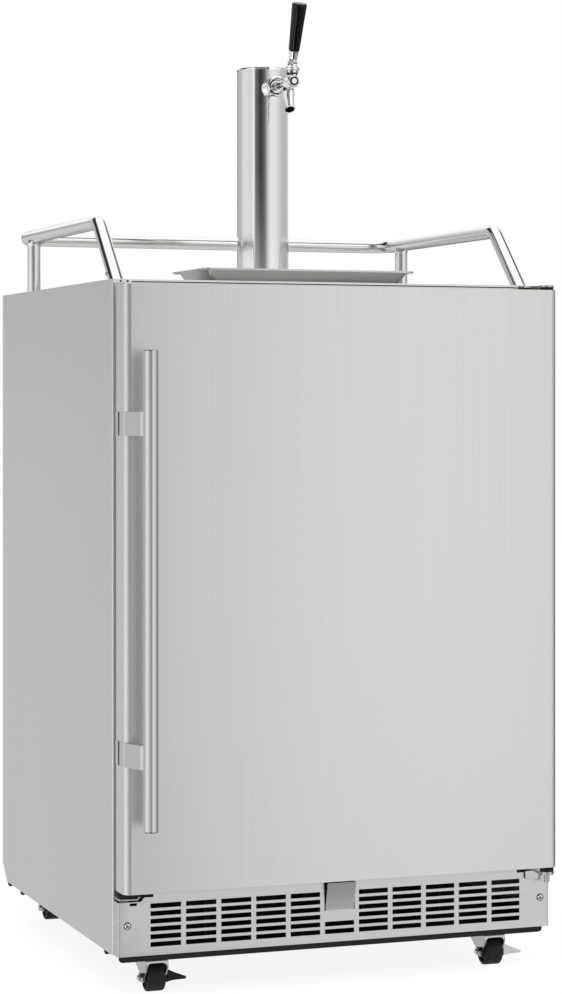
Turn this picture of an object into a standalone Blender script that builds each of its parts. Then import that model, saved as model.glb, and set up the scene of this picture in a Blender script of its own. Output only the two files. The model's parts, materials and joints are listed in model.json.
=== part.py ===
"""Under-counter kegerator on casters, with a door, a guard rail, a drip tray and a one-tap beer tower.

Metres, +Z up. The door faces -Y and +X is to the right. The origin lies on the floor under the
middle of the bounding box. Every size that can be set by itself is named once, below, and every
other size and place is worked out from those names.
"""

import math

import bmesh
import bpy
from mathutils import Matrix, Vector

# General clearances and sheet
SHEET = 0.0010
GAP = 0.0003
OVERRUN = 0.004
MERGE_DISTANCE = 0.000001

# Case
CASE_WIDTH = 0.600
CASE_DEPTH = 0.5685
CASE_HEIGHT = 0.854
FLOOR_CLEARANCE = 0.056
PANEL_RETURN = 0.022
PANEL_BEND_RADIUS = 0.003
TOP_LIP = 0.0055
REAR_LIP = 0.012
REAR_CORNER_CUT = 0.025

# Insulation, liner and machine bay
SIDE_INSULATION = 0.045
TOP_INSULATION = 0.050
BACK_INSULATION = 0.050
FLOOR_INSULATION = 0.040
HUMP_INSULATION = 0.035
LINER_WALL = 0.002
LINER_SKIRT = 0.010
BAY_HEIGHT = 0.094
MACHINE_BAY_DEPTH = 0.1085
MACHINE_BAY_HEIGHT = 0.209

# Base pan, plinth strip and rear cover
PAN_THICKNESS = 0.0015
PAN_FLANGE = 0.012
PAN_REAR_SETBACK = 0.003
PLINTH_SETFORWARD = 0.010
PLINTH_DROP = 0.009
PLINTH_RISE = 0.0015
PLINTH_THICKNESS = 0.0015
PLINTH_SIDE_INSET = 0.006
PLINTH_LEG = 0.014
PLINTH_CORNER_RADIUS = 0.005
REAR_COVER_EDGE = 0.028
VENT_COLUMNS = 2
VENT_ROWS = 7
VENT_WIDTH = 0.090
VENT_HEIGHT = 0.005
VENT_PITCH = 0.012
VENT_COLUMN_PITCH = 0.110
VENT_CENTRE_X = 0.090
VENT_BASE_RISE = 0.100

# Kick grille
KICK_SETFORWARD = 0.021
KICK_SIDE_INSET = 0.0015
KICK_BASE_RISE = 0.0005
KICK_HEIGHT = 0.0785
KICK_BEND_RADIUS = 0.002
SLOT_COLUMNS = 11
SLOT_ROWS = 6
SLOT_ROWS_UNDER_TONGUE = 2
SLOT_FIELD_INSET = 0.04275
SLOT_BAR = 0.0066
SLOT_HEIGHT = 0.006
SLOT_ROW_PITCH = 0.00975
SLOT_BASE_RISE = 0.0106
TONGUE_TRIM = 0.0011
TONGUE_SLIT = 0.0012
TONGUE_BASE_RISE = 0.0405
TONGUE_HEIGHT = 0.037
TONGUE_LEAN = 0.009
KICK_NOTCH_DEPTH = 0.010
KICK_STEP_DEPTH = 0.005
KICK_NOTCH_WIDTH = 0.0305
KICK_STEP_WIDTH = 0.0465
KICK_SLANT = 0.004
KICK_PORT_WIDTH = 0.0096
KICK_PORT_HEIGHT = 0.0033
KICK_PORT_INSET = 0.0153
KICK_PORT_DROP = 0.0015
KICK_SCREW_INSET = 0.0125
KICK_SCREW_RISE = 0.0388
KICK_SCREW_RADIUS = 0.002
KICK_SCREW_HEAD_RADIUS = 0.0046
KICK_SCREW_HEAD_HEIGHT = 0.0024
KICK_SCREW_TAIL = 0.006

# Door
DOOR_HEIGHT = 0.763
DOOR_REVEAL = 0.0078
DOOR_THICKNESS = 0.0363
DOOR_SIDE_INSET = 0.0015
DOOR_EDGE_RADIUS = 0.010
GASKET_SPACE = 0.013
GASKET_WIDTH = 0.017
GASKET_SIDE_MARGIN = 0.0135
GASKET_END_MARGIN = 0.004
DYKE_SIDE_INSET = 0.0585
DYKE_TOP_INSET = 0.057
DYKE_BOTTOM_INSET = 0.066
DYKE_REACH = 0.008
DYKE_BEVEL = 0.006

# Door handle
HANDLE_DIAMETER = 0.0193
HANDLE_LENGTH = 0.596
HANDLE_STANDOFF = 0.0387
HANDLE_SIDE_INSET = 0.0228
HANDLE_CHAMFER = 0.001
BRACKET_END_INSET = 0.0915
BRACKET_HEIGHT = 0.030
BRACKET_FOOT = 0.018
BRACKET_FOOT_SETBACK = 0.003
BRACKET_SEAT = 0.0045
BRACKET_OUTER_DEGREES = 168.0
BRACKET_INNER_DEGREES = 100.0

# Door hinges
HINGE_INSET = 0.010
HINGE_SETFORWARD = 0.033
HINGE_PIN_DIAMETER = 0.0076
HINGE_PIN_DEPTH = 0.016
HINGE_PIN_TAIL = 0.011
HINGE_EYE_RADIUS = 0.0095
PIN_TIP_CHAMFER = 0.0010
BUSHING_WALL = 0.0022
BUSHING_FLANGE = 0.0028
BUSHING_LENGTH = 0.018
RUNNING_GAP = 0.0003
LOWER_PLATE_THICKNESS = 0.004
LOWER_PLATE_DROP = 0.0073
LOWER_PLATE_INSET = 0.0335
LOWER_EAR = 0.0035
LOWER_EAR_DEPTH = 0.0022
LOWER_WEB_THICKNESS = 0.0025
LOWER_WEB_HEIGHT = 0.024
LOWER_SHOULDER = 0.0245
TAB_THICKNESS = 0.0015
TAB_WIDTH = 0.021
TAB_DROP = 0.011
TAB_CORNER = 0.003
UPPER_PLATE_THICKNESS = 0.0025
UPPER_PLATE_INSET = 0.0355
UPPER_PLATE_DEPTH = 0.030
UPPER_SHOULDER = 0.0165

# Interior fittings
KEG_PLATE_THICKNESS = 0.003
KEG_PLATE_RIM = 0.002
KEG_PLATE_RIM_WIDTH = 0.008
KEG_PLATE_MARGIN = 0.007
EVAPORATOR_COVER_WIDTH = 0.380
EVAPORATOR_COVER_HEIGHT = 0.310
EVAPORATOR_COVER_DEPTH = 0.028
EVAPORATOR_COVER_DROP = 0.030
EVAPORATOR_COVER_WALL = 0.002
LOUVRE_ROWS = 5
LOUVRE_COLUMNS = 3
LOUVRE_WIDTH = 0.095
LOUVRE_HEIGHT = 0.008
LOUVRE_PITCH = 0.026
LOUVRE_COLUMN_PITCH = 0.115
LOUVRE_TOP_MARGIN = 0.045
CONTROL_WIDTH = 0.220
CONTROL_HEIGHT = 0.034
CONTROL_DEPTH = 0.070
CONTROL_SETBACK = 0.040
CONTROL_BEVEL = 0.003
KNOB_RADIUS = 0.014
KNOB_DEPTH = 0.012
KNOB_OFFSET = 0.062
KNOB_SKIRT = 0.003
KNOB_POINTER = 0.0022
SPINDLE_RADIUS = 0.003
SPINDLE_LENGTH = 0.008
LENS_WIDTH = 0.090
LENS_HEIGHT = 0.020
LENS_DEPTH = 0.006
LENS_OFFSET = 0.045
PORT_RADIUS = 0.012
PORT_HEAD_RADIUS = 0.018
PORT_HEAD_HEIGHT = 0.004
PORT_SIDE_INSET = 0.035
PORT_RISE = 0.250
PORT_DIMPLE = 0.006

# Refrigeration machine
COMPRESSOR_WIDTH = 0.150
COMPRESSOR_DEPTH = 0.098
COMPRESSOR_HEIGHT = 0.130
COMPRESSOR_FOOT_HEIGHT = 0.014
COMPRESSOR_PLATE = 0.003
COMPRESSOR_PLATE_WIDTH = 0.170
COMPRESSOR_PLATE_DEPTH = 0.058
COMPRESSOR_FOOT_RADIUS = 0.010
COMPRESSOR_FOOT_INSET = 0.014
COMPRESSOR_X = 0.080
COMPRESSOR_BOX = 0.026
COMPRESSOR_SETBACK = 0.004
CONDENSER_TUBE_RADIUS = 0.003
CONDENSER_WIDTH = 0.380
CONDENSER_ROWS = 3
CONDENSER_ROW_PITCH = 0.022
CONDENSER_RISE = 0.012
CONDENSER_SETBACK = 0.050
CONDENSER_PLATE = 0.0015
CONDENSER_PLATES = 4
CONDENSER_PLATE_PITCH = 0.110
CONDENSER_PLATE_DEPTH = 0.030
CONDENSER_PLATE_HEIGHT = 0.082
SHROUD_WIDTH = 0.130
SHROUD_HEIGHT = 0.087
SHROUD_THICKNESS = 0.002
SHROUD_SETBACK = 0.105
SHROUD_BORE = 0.038
SHROUD_ARM = 0.005
SHROUD_ARMS = 3
MOTOR_RADIUS = 0.016
MOTOR_LENGTH = 0.026
MOTOR_STANDOFF = 0.010
FAN_RADIUS = 0.035
FAN_HUB_RADIUS = 0.011
FAN_DEPTH = 0.008
FAN_BLADES = 5
FAN_BLADE_SHEET = 0.0012
FAN_SHAFT_RADIUS = 0.002
INLET_WIDTH = 0.032
INLET_HEIGHT = 0.026
INLET_DEPTH = 0.022
INLET_WALL = 0.003
INLET_RECESS = 0.014
INLET_PIN = 0.0022
INLET_PIN_EDGE = 0.00055
INLET_PIN_STEP = 0.004
INLET_SIDE_INSET = 0.100
INLET_RISE = 0.090

# Guard rail
RAIL_DIAMETER = 0.0190
RAIL_POST_DIAMETER = 0.0186
RAIL_HEIGHT = 0.0795
RAIL_SIDE_INSET = 0.0168
RAIL_FOOT_SETBACK = 0.0396
RAIL_REAR_INSET = 0.0505
RAIL_POST_INSET = 0.1155
RAIL_BEND_RADIUS = 0.026
RAIL_CORNER_RADIUS = 0.034
RAIL_SCREW_RADIUS = 0.003
RAIL_SCREW_HEIGHT = 0.0024
RAIL_SCREW_RISE = 0.009

# Beer tower
TOWER_DIAMETER = 0.072
TOWER_HEIGHT = 0.309
TOWER_SETBACK = 0.275
TOWER_WALL = 0.0015
TOWER_CAP_HEIGHT = 0.0035
TOWER_CAP_OVERHANG = 0.0006
TOWER_PLUG_DEPTH = 0.010
TOWER_PLUG_WALL = 0.003
FLANGE_RADIUS = 0.056
FLANGE_THICKNESS = 0.004
FLANGE_COLLAR_HEIGHT = 0.007
FLANGE_COLLAR_WALL = 0.0025
FLANGE_SCREWS = 4
FLANGE_SCREW_RADIUS = 0.004
FLANGE_SCREW_HEIGHT = 0.002
LINE_HOLE_RADIUS = 0.022
SLEEVE_WALL = 0.002

# Shank and faucet
SHANK_DROP = 0.030
SHANK_COLLAR_RADIUS = 0.014
SHANK_COLLAR_REACH = 0.017
SHANK_THREAD_RADIUS = 0.0105
SHANK_TAIL = 0.061
LOCK_NUT_RADIUS = 0.0155
LOCK_NUT_LENGTH = 0.006
LOCK_NUT_CLEARANCE = 0.0006
SHANK_STUB_RADIUS = 0.0090
SHANK_STUB = 0.004
SHANK_BORE = 0.0045
NUT_RADIUS = 0.0143
NUT_LENGTH = 0.0087
NUT_LIP = 0.0018
NUT_BORE_RADIUS = 0.0094
NUT_LIP_RADIUS = 0.0082
NUT_HOLES = 6
NUT_HOLE_RADIUS = 0.002
NUT_HOLE_DEPTH = 0.003
FAUCET_LENGTH = 0.066
FAUCET_RADIUS = 0.0106
FAUCET_SHOULDER_RADIUS = 0.0090
FAUCET_NECK_RADIUS = 0.0078
FAUCET_END_NUT = 0.0070
FAUCET_END_NUT_LENGTH = 0.004
FAUCET_END_BUTTON = 0.0042
FAUCET_END_BUTTON_LENGTH = 0.002
LEVER_SETBACK = 0.010
BONNET_RADIUS = 0.0072
BONNET_RISE = 0.021
BONNET_RING_RADIUS = 0.0098
BONNET_RING_HEIGHT = 0.0075
SPOUT_ROOT_SETBACK = 0.026
SPOUT_TIP_SETBACK = 0.0194
SPOUT_DROP = 0.0390
SPOUT_RADIUS = 0.0072
SPOUT_LIP_RADIUS = 0.0078
SPOUT_LIP_HEIGHT = 0.0015
SPOUT_BORE_RADIUS = 0.0060
SPOUT_BORE_DEPTH = 0.022
BALL_RADIUS = 0.0070
BALL_CLEARANCE = 0.0003
LEVER_LEAN_DEGREES = 20.0
LEVER_STEM_RADIUS = 0.004
LEVER_STEM_LENGTH = 0.0075
LEVER_COLLAR_RADIUS = 0.0083
LEVER_COLLAR_HEIGHT = 0.0065
LEVER_STUD_RADIUS = 0.0035
LEVER_STUD_LENGTH = 0.012
FERRULE_HEIGHT = 0.0070
FERRULE_BASE_RADIUS = 0.0062
FERRULE_TOP_RADIUS = 0.0074
TAP_HANDLE_LENGTH = 0.0655
TAP_HANDLE_BASE_RADIUS = 0.0072
TAP_HANDLE_TOP_RADIUS = 0.0102
TAP_HANDLE_FLUTES = 12
TAP_HANDLE_FLUTE = 0.0006

# Drip tray and grate
TRAY_WIDTH = 0.300
TRAY_DEPTH = 0.142
TRAY_HEIGHT = 0.0205
TRAY_SETBACK = 0.083
TRAY_RIM = 0.0065
TRAY_RIM_DROP = 0.0028
TRAY_FLARE = 0.0108
TRAY_CORNER = 0.008
TRAY_SHEET = 0.0010
GRATE_THICKNESS = 0.0015
GRATE_RISE = 0.0125
GRATE_COLUMNS = 3
GRATE_ROWS = 7
GRATE_SLOT_WIDTH = 0.070
GRATE_SLOT_HEIGHT = 0.0055
GRATE_COLUMN_PITCH = 0.084
GRATE_ROW_PITCH = 0.0150

# Casters
WHEEL_DIAMETER = 0.0365
WHEEL_WIDTH = 0.023
WHEEL_SHOULDER = 0.0013
WHEEL_RIM = 0.0045
WHEEL_RECESS = 0.0025
WHEEL_HUB_RADIUS = 0.0065
WHEEL_SIDE_GAP = 0.0015
WHEEL_TOP_GAP = 0.0020
CASTER_TRAIL = 0.018
CASTER_SIDE_INSET = 0.064
CASTER_FRONT_INSET = 0.048
CASTER_REAR_INSET = 0.0565
FORK_SHEET = 0.002
FORK_CROWN = 0.0025
FORK_FRONT = 0.0165
FORK_REAR = 0.014
FORK_BOSS_RADIUS = 0.0075
FORK_SKIRT = 0.009
FORK_ARCH_RADIUS = 0.005
AXLE_RADIUS = 0.003
AXLE_CLEARANCE = 0.0003
AXLE_HEAD_RADIUS = 0.0062
AXLE_HEAD_LENGTH = 0.0045
AXLE_TIP = 0.002
AXLE_TIP_RADIUS = 0.0026
RACE_RADIUS = 0.015
RACE_HEIGHT = 0.0073
KINGPIN_RADIUS = 0.0038
KINGPIN_HEAD_RADIUS = 0.0062
KINGPIN_HEAD_HEIGHT = 0.0014
CASTER_PLATE_WIDTH = 0.058
CASTER_PLATE_DEPTH = 0.046
CASTER_PLATE_THICKNESS = 0.0025
BRAKE_THICKNESS = 0.003
BRAKE_BOSS_RADIUS = 0.0085
BRAKE_REACH = 0.025
BRAKE_DROOP = 0.0045
BRAKE_ROOT = 0.016
BRAKE_TIP = 0.003
BRAKE_RISE = 0.0025
BRAKE_FORWARD = 0.011
BUMPER_RADIUS = 0.005
BUMPER_HEIGHT = 0.0042
BUMPER_SIDE_INSET = 0.0065
BUMPER_SETBACK = 0.025
BUMPER_REAR_INSET = 0.0395
BUMPER_PITCH = 0.075

# Shares of the sizes that shapes follow
GASKET_OUTLINE_SHARES = (
    (0.00, 0.00), (1.00, 0.00), (1.00, 0.24), (0.65, 0.36), (0.65, 0.56), (0.88, 0.68),
    (0.88, 1.00), (0.12, 1.00), (0.12, 0.68), (0.35, 0.56), (0.35, 0.36), (0.00, 0.24),
)
FAUCET_PROFILE_SHARES = (
    (0.90, 0.20), (0.98, 0.38), (1.00, 0.62), (0.98, 0.80), (0.86, 0.94), (0.66, 1.00),
)
COMPRESSOR_PROFILE_SHARES = (
    (0.00, 0.00), (0.84, 0.05), (0.98, 0.22), (1.00, 0.46), (1.04, 0.47), (1.04, 0.52), (1.00, 0.53),
    (0.96, 0.76), (0.74, 0.94), (0.00, 1.00),
)
TAP_HANDLE_SHARES = ((0.0, 0.0), (0.06, 0.10), (0.50, 0.55), (0.93, 1.0), (0.98, 0.80), (1.0, 0.30))
BONNET_ROOT_SHARE = 0.25
SPOUT_ROOT_SHARE = 0.33
RING_PHASE_SHARE = 0.33
SPOUT_SHARES = ((0.0, 1.25), (0.30, 1.20), (0.62, 1.0), (0.90, 1.0))
BRAKE_WAIST_SHARES = (0.35, 0.62)
DOME_SHARES = ((0.00, 1.00), (0.60, 0.82), (1.00, 0.25), (1.00, 0.00))
CONDENSER_BEND_SHARE = 0.45
PORT_HEAD_TAPER_SHARE = 0.8

# Facets round a full turn, and steps along the ball's outline
COARSE = 8
MEDIUM = 16
FINE = 30
TAP_FACETS = 18
BALL_STEPS = 6
BOWL_STEPS = 4
BEND_STEPS = 4
CORNER_STEPS = 3
RAIL_BEND_STEPS = 5
FLUTE_POINTS = 3
HEX_SIDES = 6

# Places worked out from the sizes
HALF_WIDTH = CASE_WIDTH / 2
FRONT_REACH = GASKET_SPACE + DOOR_THICKNESS + HANDLE_STANDOFF + HANDLE_DIAMETER / 2
CASE_FRONT = (FRONT_REACH - CASE_DEPTH) / 2
CASE_BACK = CASE_FRONT + CASE_DEPTH
CASE_BOTTOM = FLOOR_CLEARANCE
CASE_TOP = CASE_BOTTOM + CASE_HEIGHT
INNER_HALF = HALF_WIDTH - SHEET - GAP
UNDERSIDE = CASE_TOP - SHEET - GAP
BACK_FACE = CASE_BACK - SHEET - GAP

BAY_TOP = CASE_BOTTOM + BAY_HEIGHT
MACHINE_FRONT = CASE_BACK - MACHINE_BAY_DEPTH
MACHINE_TOP = CASE_BOTTOM + MACHINE_BAY_HEIGHT
CAVITY_HALF = HALF_WIDTH - SIDE_INSULATION
CAVITY_FLOOR = BAY_TOP + FLOOR_INSULATION
CAVITY_CEILING = CASE_TOP - TOP_INSULATION
CAVITY_BACK = CASE_BACK - BACK_INSULATION
HUMP_FACE = MACHINE_FRONT - HUMP_INSULATION
HUMP_TOP = MACHINE_TOP + HUMP_INSULATION
PAN_TOP = CASE_BOTTOM + PAN_THICKNESS

KICK_FRONT = CASE_FRONT - KICK_SETFORWARD
KICK_HALF = HALF_WIDTH - KICK_SIDE_INSET
SLOT_COLUMN_PITCH = (2 * (KICK_HALF - SLOT_FIELD_INSET) + SLOT_BAR) / SLOT_COLUMNS
SLOT_WIDTH = SLOT_COLUMN_PITCH - SLOT_BAR
TONGUE_WIDTH = SLOT_WIDTH - TONGUE_TRIM
KICK_BOTTOM = CASE_BOTTOM + KICK_BASE_RISE
KICK_TOP = KICK_BOTTOM + KICK_HEIGHT
KICK_SCREW_X = KICK_HALF - KICK_SCREW_INSET
KICK_SCREW_Z = KICK_BOTTOM + KICK_SCREW_RISE

DOOR_TOP = CASE_TOP - DOOR_REVEAL
DOOR_BOTTOM = DOOR_TOP - DOOR_HEIGHT
DOOR_HALF = HALF_WIDTH - DOOR_SIDE_INSET
DOOR_BACK = CASE_FRONT - GASKET_SPACE
DOOR_FRONT = DOOR_BACK - DOOR_THICKNESS
DOOR_MIDDLE = (DOOR_TOP + DOOR_BOTTOM) / 2

HINGE_X = HALF_WIDTH - HINGE_INSET
HINGE_Y = CASE_FRONT - HINGE_SETFORWARD
PIN_RADIUS = HINGE_PIN_DIAMETER / 2
BUSHING_BORE = PIN_RADIUS + RUNNING_GAP
BUSHING_RADIUS = BUSHING_BORE + BUSHING_WALL
LOWER_PLATE_TOP = DOOR_BOTTOM - LOWER_PLATE_DROP
LOWER_PLATE_BOTTOM = LOWER_PLATE_TOP - LOWER_PLATE_THICKNESS
UPPER_PLATE_TOP = UNDERSIDE
UPPER_PLATE_BOTTOM = UPPER_PLATE_TOP - UPPER_PLATE_THICKNESS
UPPER_PLATE_LEFT = HALF_WIDTH - UPPER_PLATE_INSET
NOTCH_BOTTOM = CASE_TOP - TOP_LIP - GAP

HANDLE_RADIUS = HANDLE_DIAMETER / 2
HANDLE_X = -(DOOR_HALF - HANDLE_SIDE_INSET)
HANDLE_Y = DOOR_FRONT - HANDLE_STANDOFF
BRACKET_SPACING = HANDLE_LENGTH - 2 * BRACKET_END_INSET

PORT_X = -(CAVITY_HALF - PORT_SIDE_INSET)
PORT_Z = CAVITY_FLOOR + PORT_RISE
INLET_X = HALF_WIDTH - INLET_SIDE_INSET
INLET_Z = CASE_BOTTOM + INLET_RISE
KNOB_Z = CAVITY_CEILING - GAP - CONTROL_HEIGHT / 2
FAN_Z = PAN_TOP + GAP + SHROUD_HEIGHT / 2
FAN_FRONT = CASE_FRONT + SHROUD_SETBACK + RUNNING_GAP

TOWER_RADIUS = TOWER_DIAMETER / 2
TOWER_Y = CASE_FRONT + TOWER_SETBACK
TOWER_TOP = CASE_TOP + TOWER_HEIGHT
FLANGE_TOP = CASE_TOP + GAP + FLANGE_THICKNESS
SLEEVE_RADIUS = LINE_HOLE_RADIUS + SLEEVE_WALL
SHANK_Z = TOWER_TOP - SHANK_DROP
COLLAR_FACE = TOWER_Y - TOWER_RADIUS - SHANK_COLLAR_REACH
NUT_FACE = COLLAR_FACE - GAP - NUT_LENGTH
FAUCET_FRONT = NUT_FACE - FAUCET_LENGTH
LEVER_Y = FAUCET_FRONT + LEVER_SETBACK
LEVER_Z = SHANK_Z + BONNET_RISE
LEVER_LEAN = math.radians(LEVER_LEAN_DEGREES)

RAIL_RADIUS = RAIL_DIAMETER / 2
RAIL_X = HALF_WIDTH - RAIL_SIDE_INSET
RAIL_Z = CASE_TOP + RAIL_HEIGHT
RAIL_FOOT_Y = CASE_FRONT + RAIL_FOOT_SETBACK
RAIL_BEND_Y = RAIL_FOOT_Y + RAIL_HEIGHT
RAIL_BACK_Y = CASE_BACK - RAIL_REAR_INSET
RAIL_POST_Y = CASE_BACK - RAIL_POST_INSET

TRAY_FRONT = CASE_FRONT + TRAY_SETBACK
TRAY_MIDDLE = TRAY_FRONT + TRAY_DEPTH / 2
TRAY_BOTTOM = CASE_TOP + GAP

WHEEL_RADIUS = WHEEL_DIAMETER / 2
FORK_INNER = WHEEL_WIDTH / 2 + WHEEL_SIDE_GAP
FORK_OUTER = FORK_INNER + FORK_SHEET
CROWN_BOTTOM = WHEEL_DIAMETER + WHEEL_TOP_GAP
CROWN_TOP = CROWN_BOTTOM + FORK_CROWN
PLATE_BOTTOM = CASE_BOTTOM - GAP - CASTER_PLATE_THICKNESS
RACE_TOP = PLATE_BOTTOM - RACE_HEIGHT
CASTER_X = HALF_WIDTH - CASTER_SIDE_INSET
CASTER_FRONT_Y = CASE_FRONT + CASTER_FRONT_INSET
CASTER_REAR_Y = CASE_BACK - CASTER_REAR_INSET

# Angles between faces: smooth up to the first, bevelled above the second
SHARP_ANGLE = math.radians(35)
BEVEL_ANGLE = math.radians(50)


# Helpers


def clear_scene():
    for item in list(bpy.data.objects):
        bpy.data.objects.remove(item, do_unlink=True)


def material(name, colour, roughness, metallic):
    made = bpy.data.materials.new(name)
    made.use_nodes = True
    shader = made.node_tree.nodes["Principled BSDF"]
    shader.inputs["Base Color"].default_value = (*colour, 1.0)
    shader.inputs["Roughness"].default_value = roughness
    shader.inputs["Metallic"].default_value = metallic
    made.diffuse_color = (*colour, 1.0)
    return made


def mesh_object(name, bm):
    bmesh.ops.remove_doubles(bm, verts=bm.verts, dist=MERGE_DISTANCE)
    bmesh.ops.recalc_face_normals(bm, faces=bm.faces)
    mesh = bpy.data.meshes.new(name)
    bm.to_mesh(mesh)
    bm.free()
    made = bpy.data.objects.new(name, mesh)
    bpy.context.collection.objects.link(made)
    return made


def piece(name, bm, finish):
    """A node of the finished object, with its own material."""
    made = mesh_object(name, bm)
    colour, roughness, metallic = finish
    made.data.materials.append(material(name, colour, roughness, metallic))
    made.data.shade_smooth()
    made.data.set_sharp_from_angle(angle=SHARP_ANGLE)
    return made


def tool(name, bm):
    """A hidden body that cuts a piece or is joined to it."""
    made = mesh_object(name, bm)
    made.hide_render = True
    made.display_type = "WIRE"
    return made


def combine(target, other, operation):
    modifier = target.modifiers.new(other.name, "BOOLEAN")
    modifier.operation = operation
    modifier.solver = "EXACT"
    modifier.object = other
    return target


def cut(target, other):
    return combine(target, other, "DIFFERENCE")


def join(target, other):
    return combine(target, other, "UNION")


def bevel(target, width, segments=2):
    modifier = target.modifiers.new("edge", "BEVEL")
    modifier.width = width
    modifier.segments = segments
    modifier.limit_method = "ANGLE"
    modifier.angle_limit = BEVEL_ANGLE
    return target


def pivot_at(target, point):
    """Put the object's origin on its joint's axis and leave its shape where it is."""
    shift = Vector(point)
    target.data.transform(Matrix.Translation(-shift))
    target.location = shift
    return target


def place(axis, first, second, along):
    """A point from two coordinates across an axis and one along it."""
    if axis == "X":
        return Vector((along, first, second))
    if axis == "Y":
        return Vector((first, along, second))
    return Vector((first, second, along))


def add_block(bm, low, high):
    made = bmesh.ops.create_cube(bm, size=1.0)
    low = Vector(low)
    high = Vector(high)
    bmesh.ops.scale(bm, verts=made["verts"], vec=high - low)
    bmesh.ops.translate(bm, verts=made["verts"], vec=(low + high) / 2)
    return made["verts"]


def add_prism(bm, outline, axis, start, end):
    """Extrude a closed outline along an axis."""
    corners = [bm.verts.new(place(axis, first, second, start)) for first, second in outline]
    face = bm.faces.new(corners)
    grown = bmesh.ops.extrude_face_region(bm, geom=[face])
    moved = [item for item in grown["geom"] if isinstance(item, bmesh.types.BMVert)]
    bmesh.ops.translate(bm, verts=moved, vec=place(axis, 0, 0, end - start))
    return corners + moved


def add_turned(bm, profile, axis, centre, steps, closed=False):
    """Spin a profile of (radius, distance along the axis) pairs once round the axis."""
    centre = Vector(centre)
    radial = Vector((0, 0, 1)) if axis == "X" else Vector((1, 0, 0))
    along = place(axis, 0, 0, 1)
    points = [centre + radial * radius + along * distance for radius, distance in profile]
    corners = [bm.verts.new(point) for point in points]
    pairs = list(zip(corners, corners[1:]))
    if closed:
        pairs.append((corners[-1], corners[0]))
    edges = [bm.edges.new(pair) for pair in pairs]
    bmesh.ops.spin(
        bm, geom=corners + edges, cent=centre, axis=along, angle=math.tau, steps=steps,
        use_merge=True, use_duplicate=False,
    )
    bmesh.ops.remove_doubles(bm, verts=bm.verts, dist=MERGE_DISTANCE)


def add_loops(bm, loops, capped=True, ring=False):
    """Skin a row of loops that have the same number of points."""
    rows = [[bm.verts.new(point) for point in loop] for loop in loops]
    pairs = list(zip(rows, rows[1:]))
    if ring:
        pairs.append((rows[-1], rows[0]))
    count = len(rows[0])
    for lower, upper in pairs:
        for index in range(count):
            following = (index + 1) % count
            bm.faces.new((lower[index], lower[following], upper[following], upper[index]))
    if capped:
        bm.faces.new(rows[0])
        bm.faces.new(rows[-1])


def rounded(points, radius, steps=BEND_STEPS, closed=False):
    """Round the corners of a line with arcs, by one radius or by one for each corner."""
    radii = radius if isinstance(radius, (list, tuple)) else [radius] * len(points)
    last = len(points) - 1
    line = []
    for index, point in enumerate(points):
        here = Vector(point)
        if radii[index] <= 0 or (not closed and index in (0, last)):
            line.append(tuple(here))
            continue
        before = (Vector(points[index - 1]) - here).normalized()
        after = (Vector(points[(index + 1) % len(points)]) - here).normalized()
        half = before.angle(after) / 2
        centre = here + (before + after).normalized() * (radii[index] / math.sin(half))
        start = here + before * (radii[index] / math.tan(half)) - centre
        end = here + after * (radii[index] / math.tan(half)) - centre
        sweep = start.angle_signed(end)
        for step in range(steps + 1):
            turn = -sweep * step / steps
            cosine = math.cos(turn)
            sine = math.sin(turn)
            spoke = Vector((start.x * cosine - start.y * sine, start.x * sine + start.y * cosine))
            line.append(tuple(centre + spoke))
    return line


def sheet(path, thickness):
    """The closed outline of a folded sheet: a line and its copy moved to the left of it."""
    copy = []
    for index, point in enumerate(path):
        sides = []
        if index > 0:
            sides.append((Vector(point) - Vector(path[index - 1])).normalized())
        if index < len(path) - 1:
            sides.append((Vector(path[index + 1]) - Vector(point)).normalized())
        normals = [Vector((-side.y, side.x)) for side in sides]
        mean = sum(normals, Vector((0, 0))).normalized()
        copy.append(tuple(Vector(point) + mean * (thickness / mean.dot(normals[0]))))
    return list(path) + copy[::-1]


def circle(centre, radius, steps, start=0.0):
    turns = [start + math.tau * index / steps for index in range(steps)]
    return [(centre[0] + radius * math.cos(turn), centre[1] + radius * math.sin(turn)) for turn in turns]


def add_tube(bm, points, radii, sides):
    """A round tube along a line of points, with flat ends."""
    points = [Vector(point) for point in points]
    loops = []
    across = None
    for index, point in enumerate(points):
        before = points[max(index - 1, 0)]
        after = points[min(index + 1, len(points) - 1)]
        ahead = (after - before).normalized()
        if across is None:
            across = ahead.orthogonal().normalized()
        across = (across - ahead * across.dot(ahead)).normalized()
        other = ahead.cross(across)
        turns = [math.tau * side / sides for side in range(sides)]
        loops.append([
            point + (across * math.cos(turn) + other * math.sin(turn)) * radii[index] for turn in turns
        ])
    add_loops(bm, loops)


def bent_line(corners, radii, steps):
    """A line through space with an arc in place of each inner corner."""
    line = [Vector(corners[0])]
    for index in range(1, len(corners) - 1):
        here = Vector(corners[index])
        before = (Vector(corners[index - 1]) - here).normalized()
        after = (Vector(corners[index + 1]) - here).normalized()
        half = before.angle(after) / 2
        centre = here + (before + after).normalized() * (radii[index] / math.sin(half))
        start = here + before * (radii[index] / math.tan(half)) - centre
        end = here + after * (radii[index] / math.tan(half)) - centre
        for step in range(steps + 1):
            line.append(centre + arc_point(start, end, step / steps))
    line.append(Vector(corners[-1]))
    return line


def arc_point(start, end, share):
    """The spoke at a share of the way from one spoke of an arc to another."""
    sweep = start.angle(end)
    first = math.sin((1 - share) * sweep) / math.sin(sweep)
    second = math.sin(share * sweep) / math.sin(sweep)
    return start * first + end * second


def rounded_rectangle(half_x, half_y, centre_y, radius, z, steps=CORNER_STEPS):
    corners = [(-half_x, -half_y), (half_x, -half_y), (half_x, half_y), (-half_x, half_y)]
    line = rounded(corners, radius, steps, closed=True)
    return [Vector((x, y + centre_y, z)) for x, y in line]


def hexagon(centre, radius):
    return circle(centre, radius, HEX_SIDES)


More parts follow.
